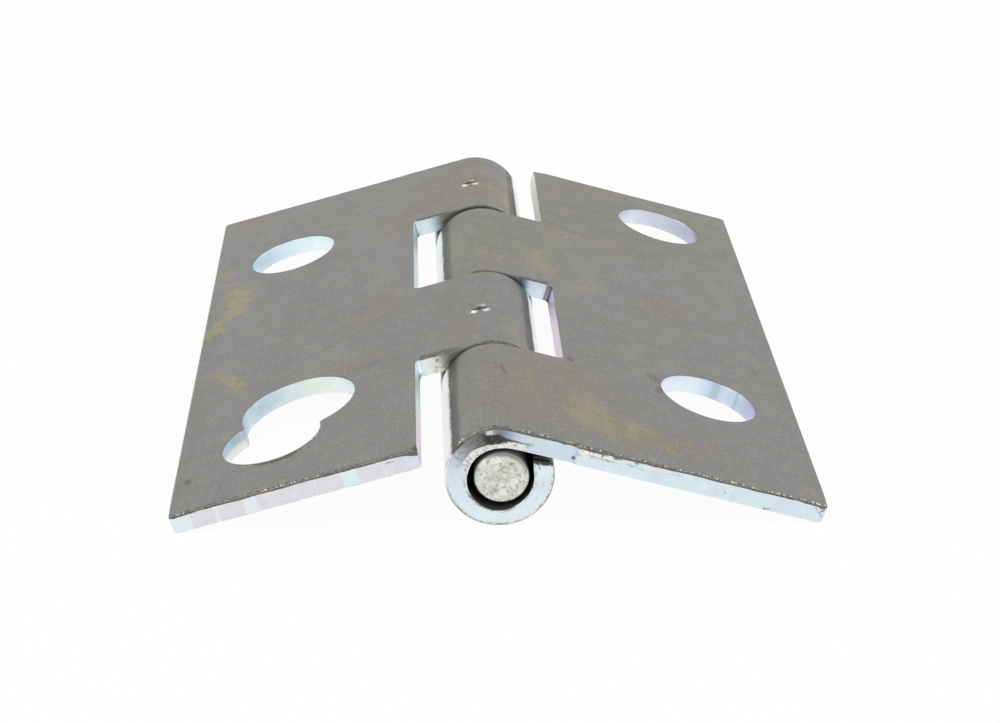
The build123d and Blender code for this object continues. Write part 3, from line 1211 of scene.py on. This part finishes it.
LINE_STRENGTH = [(0.06, 0.0), (0.16, 0.4), (0.33, 0.6), (0.4, 0.95), (0.63, 0.95), (0.8, 0.75), (0.9, 0.6),
                 (1.0, 0.0)]
TORN_METAL = [(0.36, (0.4, 0.4, 0.35)), (0.46, (0.74, 0.76, 0.74)), (0.6, (0.88, 0.89, 0.85))]
TEETH = [(0.62, 0.67), (0.7, 0.63), (0.84, 0.62), (0.93, 0.575), (0.98, 0.55)]


def knuckle_crease(position, colour, front, specks):
    """Rolling folded a crease into the end: painted shade and a painted highlight outside it, torn metal
    inside it.
    """
    out, _, depth = parts(position)
    share = out * 0.125 + 0.75
    on_knuckle = ramp(out * 0.1 + 0.7, [(0.1, 0.0), (0.16, 1.0), (0.88, 1.0), (0.93, 0.0)]) * front
    ragged = (specks - 0.5) * 0.4
    below = depth - (ramp(share, CREASE) * 2.0 + ragged)
    outside = fall(below + 0.5, 0.47, 0.53) * on_knuckle
    scuff = noise_pattern(position, 2.6, 5.0, 0.8, shift=(9, 9, 2))
    scuff = ramp(scuff, [(0.38, 0.62), (0.5, 1.0), (0.62, 1.3)], "LINEAR")
    scuffed = ramp(share, [(0.05, 0.0), (0.2, 1.0), (0.5, 1.0), (0.52, 0.0)])
    scuff = mix(scuffed, (1, 1, 1), scuff)
    colour = mix(outside, colour, mix(1.0, ramp(share, CREASE_LIGHT_AND_SHADE, "LINEAR"), scuff, "MULTIPLY"))

    # Painted shadow of the fold.
    fold = rise(depth + ragged * 0.5 - ramp(share, FOLD_TOP) * 2.0 + 0.5, 0.47, 0.6)
    fold = fold * ramp(share, [(0.45, 0.0), (0.52, 1.0), (0.66, 0.95), (0.78, 0.9), (0.86, 0.0)])
    colour = mix(fold * outside, colour, (0.05, 0.05, 0.052))
    inside = rise(below + 0.5, 0.47, 0.53) * on_knuckle
    inside = inside * ramp(share, [(0.06, 0.0), (0.16, 1.0), (0.84, 1.0), (0.95, 0.0)])
    colour = mix(inside, colour, ramp(specks, TORN_METAL))
    # Painted shade in the crease itself: a dark line along it.
    line = fall(abs(below), 0.03, 0.1) * ramp(share, LINE_STRENGTH)
    return mix(line * front, colour, (0.09, 0.09, 0.065))


def rough_borders(position, colour, front, specks):
    """Scabs along both borders of the knuckle's end, and a trail of small teeth near the bore."""
    out, _, depth = parts(position)
    share = out * 0.125 + 0.75
    border = fall(depth, 0.1, 0.35).at_least(rise(depth * 0.5, 0.62, 0.74))
    scabs = rise(noise_pattern(position, 3.4, 4.0, 0.8, shift=(3, 1, 9)), 0.5, 0.6, 0.75)
    rough_lip = ramp(out * -0.05, [(0.37, 0.0), (0.44, 1.0), (0.6, 1.0), (0.68, 0.0)])
    scabs = scabs.at_least(rough_lip * rise(specks, 0.44, 0.52))
    colour = mix(scabs * border * front * (out < -2.0), colour, (0.27, 0.26, 0.19))
    trail = fall(abs(depth - ramp(share, TEETH) * 2.0), 0.05, 0.13)
    trail = trail * ramp(share, [(0.62, 0.0), (0.68, 1.0), (0.92, 1.0), (0.98, 0.0)])
    teeth = rise(noise_pattern(position, 4.0, 3.0, 0.8, shift=(5, 5, 1)), 0.53, 0.6, 0.9)
    return mix(trail * teeth * front, colour, (0.13, 0.13, 0.12))


# %% Cut wall of the sheet
def cut_wall_finish(name, bands, strokes, creased):
    """Wall that the punch cut: stored film colour with painted light, bands, a ragged shoulder with dirt and
    painted shade, specks and strokes.
    """
    material, tree, shader = new_finish(name)
    position = stored(tree, "blank", "Vector")
    out, along, depth = parts(position)
    front = along < FRONT
    colour = front_bands(position, stored(tree, "tint", "Color"), front, bands)
    cloud = noise_pattern(position, 1.1, 4.0, 0.7)
    cloud = ramp(cloud, [(0.3, (0.94, 0.95, 0.96)), (0.7, (1.04, 1.03, 1.02))])
    colour = mix(0.8, colour, cloud, "MULTIPLY")
    specks = noise_pattern(position, 3.0, 4.0, 0.8, shift=(2, 9, 4))
    if creased:
        colour = torn_zone(position, colour, front)
        colour = knuckle_crease(position, colour, front, specks)
        colour = rough_borders(position, colour, front, specks)
    else:
        colour = flecks_at_joint(position, colour)
    near_joints = front.at_least((out < 5.1) * 0.7)
    colour = mix(rise(specks, 0.66, 0.72, 0.8) * near_joints, colour, (0.3, 0.25, 0.2))
    grey = noise_pattern(position, 4.5, 3.0, 0.75, (0.55, 1, 1), (11, 4, 6))
    colour = mix(rise(grey, 0.6, 0.68, 0.5) * near_joints, colour, (0.42, 0.42, 0.4))

    ragged = noise_pattern(position, 3.2, 5.0, 0.8) * 1.2 - 0.6
    wear = stored(tree, "wear")
    shoulder = fall((depth + ragged) / wear.at_least(0.5), 0.0, 0.09, 0.7)
    # Dirt and painted shade along the wall's shoulder.
    colour = mix(shoulder * wear.at_most(1.0), colour, DIRT_AND_SHADE_BROWN)
    set_shader(shader, front_strokes(position, colour, front, strokes), 1.0, 0.42)
    bump(shader, noise_pattern(position, 3.5, 5.0, 0.7), 0.00004, 0.5)
    return material


# %% [markdown]
# ## What is where on the two leaves
#
# The marks on a used hinge are not chance: they sit where the press, the rolling and the plating bath left
# them. So each leaf has a record of its own, with the sizes of its shoulder, its dragged corners and squeezed
# tabs, its pools, dirty spots and scratches. The finishes above turn these few numbers into soft shapes with
# ragged borders, and fill the rest with noise of the same size.

# %% Pools: out, along, reach out, reach along, turn and amount, for yellow, brown and green
right_pools = [
    [
        (1.2, 51.0, 1.6, 2.5, 0, 0.6), (3.6, 37.8, 2.2, 3.6, 0, 0.75), (-1.5, 41.0, 2.5, 5.5, 0, 0.6),
        (6.2, 45.5, 2.2, 3.2, 0, 0.8), (7.8, 34.0, 0.7, 4.4, 22, 0.8), (5.9, 6.9, 2.0, 3.4, -28, 1.1),
        (9.6, 4.7, 2.6, 1.5, -8, 1.0), (13.4, 4.3, 2.4, 1.2, 0, 0.6), (1.7, 11.5, 0.4, 4.0, 8, 0.95),
        (23.9, 1.6, 1.0, 1.2, 0, 0.4),
    ],
    [
        (9.0, 56.0, 13.0, 9.0, 0, 1.0), (-1.0, 38.0, 3.0, 8.0, 0, 0.5), (4.0, 8.0, 9.0, 9.0, 0, 0.4),
        (11.5, 60.4, 2.5, 3.0, 0, 0.7), (11.5, 46.5, 2.0, 2.2, 0, 0.7), (16.0, 33.5, 3.8, 3.2, 0, 0.7),
        (13.0, 4.4, 4.0, 1.5, 0, 0.8), (4.4, 12.4, 2.2, 3.2, 0, 0.8), (0.0, 9.0, 3.0, 7.0, 0, 0.5),
    ],
    [
        (15.0, 55.0, 14.0, 9.0, 0, 0.8), (2.0, 43.0, 7.0, 8.0, 0, 0.85), (12.0, 24.0, 5.0, 7.0, 0, 0.5),
        (23.4, 20.0, 1.3, 9.0, 0, 0.6), (-3.2, 10.0, 1.0, 9.0, 0, 0.8), (-3.0, 40.0, 1.2, 9.0, 0, 0.8),
        (20.0, 38.0, 3.0, 8.0, 0, 0.45),
    ],
]
left_pools = [
    [
        (24.0, 48.4, 0.6, 2.4, 22, 0.6), (22.9, 45.4, 0.7, 2.6, 14, 0.75), (22.1, 41.9, 0.75, 2.6, 0, 0.95),
        (22.4, 38.6, 0.65, 2.4, -18, 0.95), (23.3, 36.6, 0.7, 1.9, -38, 1.0),
        (24.3, 35.0, 0.8, 1.4, -45, 1.0), (21.2, 22.4, 0.55, 3.2, 26, 1.25),
        (21.1, 14.0, 0.5, 3.4, 3, 1.15), (-1.4, 56.0, 2.5, 5.0, 0, 0.5), (-3.4, 51.0, 0.9, 3.4, 0, 0.7),
        (-2.6, 19.5, 1.0, 5.0, 0, 0.3),
    ],
    [
        (0.0, 56.0, 6.0, 7.0, 0, 0.7), (8.5, 30.0, 2.4, 4.6, 0, 0.75), (6.6, 49.5, 1.8, 3.6, 0, 0.8),
        (11.3, 18.6, 3.4, 1.4, 0, 0.8), (22.0, 62.0, 2.6, 3.0, 0, 0.75), (1.4, 20.5, 1.8, 2.6, 0, 0.7),
        (23.4, 4.0, 1.2, 2.6, 0, 0.6),
    ],
    [
        (1.7, 27.0, 1.4, 5.0, 0, 0.75), (23.7, 14.0, 1.0, 14.0, 0, 0.7), (12.0, 57.0, 6.0, 4.0, 0, 0.45),
    ],
]
print("pools", sum(len(kind) for kind in right_pools + left_pools))

# %% Edges, corners and squeezed tabs
right_leaf = {
    "holes": right_holes, "window_edge": right_window_edge, "tabs": right_knuckles, "marks": [],
    "front_shoulder": [(-9, 0.1), (-5, 0.2), (-3, 0.28), (4, 0.26), (7, 0.2)],
    "tear": (0.52, 0.42),
    "front_wear": [(-7, 0.0), (-5.6, 0.15), (-4.2, 0.9), (-3.6, 1.4), (-1.2, 1.5), (-0.2, 1.0), (4.6, 0.9),
                   (5.4, 1.6), (8.5, 1.5), (12, 1.0)],
    "joint_wear": (0.0, 0.6),
    "bore_lip": [(-14, 0.0), (-11, -0.08), (-8, 0.02), (-5.5, 0.17), (-0.8, 0.17), (0.6, 0.08), (4.0, 0.06),
                 (5.5, 0.0)],
    "corners": [(Vector((leaf_width, 0)), 0.1, 1.2), (Vector((right_window_edge, leaf_length)), 0.12, 0.8)],
    "ends": [(right_knuckles[0][0], -1, 0.12, 0.16), (right_knuckles[0][1], 1, 0.05, 0.12),
             (right_knuckles[1][0], -1, 0.05, 0.12), (right_knuckles[1][1], 1, 0.05, 0.12)],
    "pools": right_pools, "wall_colour": right_wall_colour,
}
left_leaf = {
    "holes": left_holes + keyhole, "window_edge": left_window_edge, "tabs": left_knuckles,
    "marks": punch_marks,
    "front_shoulder": [(5, 0.2)],
    "tear": (0.6, 0.92),
    "front_wear": [(5.5, 2.2), (6.3, 1.6), (7.2, 1.45)],
    "joint_wear": (1.0, 0.3),
    "bore_lip": [(0, 0.0)],
    "corners": [(Vector((left_window_edge, 0)), 0.3, 0.7), (Vector((leaf_width, 0)), 0.1, 1.2)],
    "ends": [(left_knuckles[0][0], -1, 0.05, 0.12), (left_knuckles[0][1], 1, 0.05, 0.12),
             (left_knuckles[1][0], -1, 0.05, 0.12), (left_knuckles[1][1], 1, 0.0, 0.14)],
    "pools": left_pools, "wall_colour": left_wall_colour,
}

# %% Density of the painted highlights of beads along the front, and dirty spots: out, along, two reaches, turn and amount
RIGHT_BEAD_HIGHLIGHTS = [
    (0.02, 0.6), (0.12, 0.6), (0.16, 0.9), (0.2, 0.4), (0.24, 0.2), (0.3, 0.6), (0.38, 0.7), (0.48, 1.0),
    (1.0, 1.0),
]
LEFT_BEAD_HIGHLIGHTS = [
    (0.4, 0.15), (0.6, 0.2), (0.65, 0.9), (0.74, 0.9), (0.8, 0.2), (0.9, 0.15), (0.97, 0.4),
]
right_blemishes = [
    (-0.35, 11.0, 0.16, 1.3, 6, 0.8), (5.4, 16.5, 0.35, 0.7, 0, 0.8), (3.6, 8.9, 0.9, 0.25, 0, 0.2),
    (16.4, 1.75, 0.14, 0.22, 0, 0.6), (22.2, 23.8, 0.5, 0.8, 0, 0.4), (12.6, 17.0, 0.7, 1.3, 20, 0.7),
    (12.9, 14.8, 0.5, 1.1, -20, 0.8), (10.4, 14.3, 0.3, 0.45, 0, 0.3), (10.2, 17.4, 0.5, 0.5, 0, 0.2),
    (9.6, 11.6, 0.25, 0.5, 0, 0.25),
]
left_blemishes = [
    (23.6, 5.2, 0.4, 0.7, 0, 0.9), (9.9, 18.0, 2.1, 0.8, -29, 0.3), (11.5, 16.8, 0.7, 0.5, -29, 0.25),
    (2.2, 25.8, 0.3, 0.5, 0, 0.2),
]

# %% Strokes on the front walls: out, depth, two reaches, tilt, amount and colour
right_strokes = [
    (6.9, 0.2, 0.16, 0.34, 0, 0.9, (0.2, 0.19, 0.13)), (8.05, 0.2, 0.5, 0.26, 0, 0.9, (0.2, 0.19, 0.13)),
    (9.55, 0.24, 0.2, 0.24, 0, 0.85, (0.24, 0.21, 0.17)), (6.6, 0.6, 1.2, 0.1, 0, 0.6, (0.42, 0.4, 0.42)),
    (9.2, 0.58, 0.4, 0.08, 0, 0.7, (0.36, 0.32, 0.32)), (4.96, 0.75, 0.08, 1.2, 0, 0.75, (0.46, 0.38, 0.6)),
    (4.85, 1.15, 0.2, 0.15, 0, 0.8, (0.1, 0.09, 0.12)),
    (-1.75, 0.1, 0.8, 0.2, 0, 0.85, (0.14, 0.105, 0.055)),
    (24.2, 0.3, 0.6, 0.1, -20, 0.85, (0.22, 0.19, 0.14)),
    (24.35, 0.62, 0.35, 0.07, 35, 0.9, (0.24, 0.2, 0.15)),
    (23.9, 0.5, 0.3, 0.06, -35, 0.85, (0.24, 0.2, 0.15)),
    (24.4, 0.95, 0.3, 0.06, -50, 0.8, (0.26, 0.22, 0.17)),
    (20.2, 1.42, 0.35, 0.07, 20, 0.8, (0.25, 0.23, 0.18)),
    (16.8, 0.93, 0.12, 0.06, 0, 0.8, (0.35, 0.22, 0.2)),
    (12.6, 0.48, 0.9, 0.04, 4, 0.55, (0.35, 0.38, 0.42)),
    (9.8, 0.62, 1.1, 0.035, -18, 0.5, (0.4, 0.4, 0.42)),
    (-15.29, 0.1, 0.3, 0.08, 0, 0.85, (0.16, 0.15, 0.12)),
    (-14.6, 0.2, 0.22, 0.07, 20, 0.8, (0.2, 0.18, 0.14)),
    (-5.12, 0.14, 0.2, 0.06, 10, 0.8, (0.2, 0.19, 0.15)),
    (-5.9, 0.12, 0.2, 0.07, 0, 0.6, (0.3, 0.29, 0.25)),
    # Painted shade along the bore's lower edge, which widens the dark gap round the pin.
    (-11.2, 1.52, 2.3, 0.2, 0, 0.9, (0.07, 0.06, 0.045)), (-8.6, 1.5, 1.2, 0.1, 4, 0.7, (0.12, 0.11, 0.08)),
    (-12.2, 1.25, 0.8, 0.04, 5, 0.7, (0.3, 0.26, 0.2)),
    (tab_end + 0.05, 0.8, 0.34, 1.6, 0, 1.0, (0.07, 0.06, 0.04)),
    (tab_end + 0.5, 1.2, 0.22, 0.04, 30, 0.8, (0.15, 0.15, 0.14)),
    (tab_end + 0.55, 1.05, 0.2, 0.035, -15, 0.8, (0.15, 0.15, 0.14)),
    (1.0, 0.5, 0.1, 0.06, 0, 0.6, (0.3, 0.3, 0.35)),
]
left_strokes = [(7.55, 0.46, 0.5, 0.05, 0, 0.8, (0.2, 0.17, 0.22))]

# Paler stretches of the left front wall: from, to and amount.
left_bands = [
    (23.15, 24.9, 1.0), (20.95, 21.3, 0.9), (17.95, 18.95, 1.0), (13.3, 13.42, 0.6), (10.05, 11.3, 0.9),
    (7.92, 8.08, 0.7),
]
print("strokes", len(right_strokes + left_strokes), "pale stretches", len(left_bands))


# %% The two leaves
def make_leaf(bm, name, leaf, side, face, wall):
    """Presses a blank, stores its finish, curls it and gives it its materials."""
    press(bm, leaf)
    mark_finish(bm, leaf)
    set_in_place(bm, side)
    rim = bm.verts.layers.float["rim"]
    return finish_piece(bm, name, [face, wall], lambda item: all(on_cut(vert, rim) for vert in item.verts))


right_leaf_sheet = make_leaf(right_blank(), "right_leaf_sheet", right_leaf, 1,
                             plated_face_finish("right_plated_face", right_blemishes, RIGHT_BEAD_HIGHLIGHTS),
                             cut_wall_finish("right_cut_wall", [], right_strokes, True))
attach(right_leaf_sheet, "swinging_leaf")
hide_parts("right_leaf")

left_leaf_sheet = make_leaf(left_blank(), "left_leaf_sheet", left_leaf, -1,
                            plated_face_finish("left_plated_face", left_blemishes, LEFT_BEAD_HIGHLIGHTS),
                            cut_wall_finish("left_cut_wall", left_bands, left_strokes, False))
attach(left_leaf_sheet, "keyhole_leaf")
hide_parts("left_leaf")

# %% [markdown]
# ## The pin
#
# A length of plain wire, cropped at both ends. A cropped end is never flat: it is mottled, its rim is
# rounded, and a small nick is left. A cylinder with a beveled rim would look turned, so both end faces are
# inset in fine rings and given a low, uneven relief.

# %% Wire blank and its cropped ends
PIN_SIDES = 96
PIN_RIM = 0.15
RING_STEP = 0.075
RIM_STEP, RIM_CUTS = 0.06, 8
LENGTH_PARTS = 20


def wire_blank(length):
    """A closed cylinder along Y whose end faces are divided into rings, with the rings' distance stored."""
    bm = bmesh.new()
    inward = bm.verts.layers.float.new("rim")
    bmesh.ops.create_cone(bm, cap_ends=True, cap_tris=False, segments=PIN_SIDES, radius1=pin_radius,
                          radius2=pin_radius, depth=length, matrix=Matrix.Rotation(math.pi / 2, 4, "X"))
    caps = [face for face in bm.faces if len(face.verts) > 4]
    for cap in caps:
        distance = 0.0
        for _ in range(int(pin_radius / RING_STEP) - 1):
            distance += RING_STEP
            bmesh.ops.inset_region(bm, faces=[cap], thickness=RING_STEP, use_even_offset=True)
            for vert in cap.verts:
                vert[inward] = distance
        middle = bmesh.ops.poke(bm, faces=[cap])["verts"][0]
        middle[inward] = pin_radius
    for index in range(1, RIM_CUTS + 1):
        for way in (-1, 1):
            cut_line(bm, (0, way * (length / 2 - RIM_STEP * index), 0), (0, 1, 0))
    for index in range(1 - LENGTH_PARTS // 2, LENGTH_PARTS // 2):
        cut_line(bm, (0, index * length / LENGTH_PARTS, 0), (0, 1, 0))
    return bm


def end_relief(around, inward):
    """How far the cropped end lies back, at a distance in from the rim."""
    rough = uneven(around, 0.9, 4.0) + 0.6 * uneven(around, 0.35, 9.0) + 0.5
    return max(0.045 * smooth(inward, 0.0, 0.5) * rough, 0.0)


def crop_ends(bm, length):
    """Rounds the rim unevenly, flares the ends a little and gives them the relief of sheared wire."""
    inward = bm.verts.layers.float["rim"]
    blank = bm.verts.layers.float_vector.new("blank")
    for vert in bm.verts:
        place = vert.co.copy()
        vert[blank] = place
        way = 1 if place.y > 0 else -1
        from_end = length / 2 - abs(place.y)
        around = Vector((place.x, way * 3.0, place.z))
        radius = PIN_RIM + 0.04 * uneven(around, 1.3, 2.0) + 0.02 * uneven(around, 0.4, 6.0)
        if from_end < 1e-4:
            vert.co.y -= way * (round_drop(vert[inward], radius) + end_relief(around, vert[inward]))
        elif from_end < radius:
            flat = Vector((place.x, 0, place.z))
            vert.co -= flat.normalized() * round_drop(from_end, radius) * 0.5
        flare = 1 + 0.03 * (1 - smooth(from_end, 0.15, 0.9))
        vert.co.x, vert.co.z = vert.co.x * flare, vert.co.z * flare


# %% Finishes of the wire and of its ends
def wire_finish():
    """Drawn wire: plain satin steel with faint lines along it."""
    material, tree, shader = new_finish("drawn_wire")
    lines = noise_pattern(stored(tree, "blank", "Vector"), 2.0, 4.0, 0.6, (1, 0.04, 1))
    set_shader(shader, ramp(lines, [(0.3, (0.42, 0.42, 0.5)), (0.7, (0.6, 0.6, 0.68))]), 0.4, 0.38)
    return material


# Side, height, reach to the side and reach up of each nick.
PIN_NICKS = [(1.2, 0.15, 0.34, 0.05), (1.35, 0.02, 0.06, 0.2), (-0.1, 0.9, 0.07, 0.05)]
WHOLE_PIN = 99
MOTTLES = [(0.34, (0.42, 0.43, 0.38)), (0.48, (0.68, 0.7, 0.64)), (0.6, (0.86, 0.87, 0.82))]


def cropped_end_finish():
    """Cropped wire end: matt grey-beige, mottled, with painted shade towards the top of its rounded rim,
    specks and nicks.
    """
    material, tree, shader = new_finish("cropped_wire_end")
    position = stored(tree, "blank", "Vector")
    side, _, up = parts(position)
    rim = stored(tree, "rim")
    colour = ramp(noise_pattern(position, 1.2, 6.0, 0.72), MOTTLES)
    specks = noise_pattern(position, 3.6, 4.0, 0.72, shift=(4, 2, 8))
    colour = mix(rise(specks, 0.56, 0.64, 0.7), colour, (0.2, 0.19, 0.15))
    # Painted shade on the upper part of the rounded rim.
    top = rise(side * 0.12 + up * 0.42, 0.35, 0.75)
    colour = mix(fall(rim, 0.2, 0.5) * top * 0.8, colour, (0.2, 0.185, 0.15))
    colour = mix(fall(rim, 0.05, 0.22) * 0.35, colour, (0.42, 0.43, 0.42))
    for place_side, place_up, reach_side, reach_up in PIN_NICKS:
        nick = oval(position, (place_side, 0, place_up), (reach_side, WHOLE_PIN, reach_up))
        colour = mix(nick * 0.7, colour, (0.14, 0.13, 0.11))
    set_shader(shader, colour, 1.0, 0.55)
    bump(shader, noise_pattern(position, 3.0, 4.0, 0.7), 0.0001, 0.6)
    return material


# %% The pin in its place
pin_length = (pin_high.y - pin_low.y) / MM
wire = wire_blank(pin_length)
crop_ends(wire, pin_length)
bmesh.ops.translate(wire, vec=pin_middle, verts=wire.verts)
bmesh.ops.scale(wire, vec=(MM, MM, MM), verts=wire.verts)
bmesh.ops.recalc_face_normals(wire, faces=wire.faces[:])
wire.normal_update()
pin_wire = finish_piece(wire, "pin_wire", [wire_finish(), cropped_end_finish()],
                        lambda face: abs(face.normal.y) > 0.45)
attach(pin_wire, "keyhole_leaf")
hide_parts("hinge_pin")

# %% [markdown]
# ## Table, light and camera
#
# The hinge lies on a white sheet in a soft studio. The floor shows as white to the camera and in
# reflections, and still keeps a soft shadow. The world is white for the same rays, and a plain grey fill
# for the rest. Two large lamps give the satin plate its soft highlights.

# %% Floor and world
BACKGROUND_RAYS = ("Is Camera Ray", "Is Glossy Ray", "Is Transmission Ray")


def white_background(tree, plain, white, share):
    """The plain shading, replaced by a share of white for the camera and in reflections."""
    camera, glossy, through = [put(tree, "ShaderNodeLightPath", output=ray) for ray in BACKGROUND_RAYS]
    seen = camera + glossy + through
    return put(tree, "ShaderNodeMixShader", {0: seen * share, 1: plain, 2: white})


def floor_finish():
    """White table: mostly its own white to the camera, with part of the real shading left as shadow."""
    material, tree, shader = new_finish("white_table")
    set_shader(shader, (0.9, 0.9, 0.9), 0.0, 0.9)
    glow = put(tree, "ShaderNodeEmission", {"Color": (1, 1, 1)})
    mixed = white_background(tree, Value(shader.outputs[0]), glow, 0.96)
    feed(tree.nodes["Material Output"].inputs["Surface"], mixed)
    return material


bm = bmesh.new()
bmesh.ops.create_grid(bm, x_segments=1, y_segments=1, size=1.5)
floor_mesh = bpy.data.meshes.new("table")
bm.to_mesh(floor_mesh)
bm.free()
floor_mesh.materials.append(floor_finish())
table = bpy.data.objects.new("table", floor_mesh)
bpy.context.collection.objects.link(table)

world = bpy.data.worlds.new("soft_studio")
bpy.context.scene.world = world
world.use_nodes = True
sky = world.node_tree
grey_fill = sky.nodes["Background"]
feed(grey_fill.inputs["Color"], (0.93, 0.95, 1.0))
feed(grey_fill.inputs["Strength"], 0.6)
white = put(sky, "ShaderNodeBackground", {"Color": (1, 1, 1)})
background = white_background(sky, Value(grey_fill.outputs[0]), white, 1.0)
feed(sky.nodes["World Output"].inputs["Surface"], background)


# %% Lamps
def soft_lamp(name, place, size, watts):
    """A square area lamp that faces the middle of the hinge."""
    data = bpy.data.lights.new(name, "AREA")
    data.size = size
    data.energy = watts
    lamp = bpy.data.objects.new(name, data)
    lamp.location = place
    lamp.rotation_euler = (-Vector(place)).to_track_quat("-Z", "Y").to_euler()
    bpy.context.collection.objects.link(lamp)


soft_lamp("left_softbox", (-0.35, -0.15, 0.4), 0.35, 1.2)
soft_lamp("right_softbox", (0.38, -0.12, 0.38), 0.3, 0.8)

# %% [markdown]
# ## Camera at the photo's angle
#
# A pinhole camera was fitted to the outlines in the photo, which gave its place, its three turns and the
# lens. It stands about 0.2 m away and looks down by 23 degrees, so the near knuckle looks larger than the
# far one.

# %% Camera
PITCH, YAW, ROLL = 0.4094, 0.0390, 0.0017
CAMERA_PLACE = Vector((-6.139, -188.9, 81.97)) * MM
FOCAL_LENGTH = 84.26

forward = Vector((math.sin(YAW) * math.cos(PITCH), math.cos(YAW) * math.cos(PITCH), -math.sin(PITCH)))
right = Vector((math.cos(YAW), -math.sin(YAW), 0))
up = right.cross(forward)
turned_right = right * math.cos(ROLL) + up * math.sin(ROLL)
turned_up = up * math.cos(ROLL) - right * math.sin(ROLL)

lens = bpy.data.cameras.new("photo_camera")
lens.sensor_width = 36
lens.lens = FOCAL_LENGTH
lens.clip_start = 0.01
camera = bpy.data.objects.new("photo_camera", lens)
turned = Matrix((turned_right, turned_up, -forward)).transposed().to_4x4()
camera.matrix_world = Matrix.Translation(CAMERA_PLACE) @ turned
bpy.context.collection.objects.link(camera)
bpy.context.scene.camera = camera
bpy.context.scene.view_settings.view_transform = "Standard"
print("camera", round(CAMERA_PLACE.length, 3), "m from the middle of the hinge")
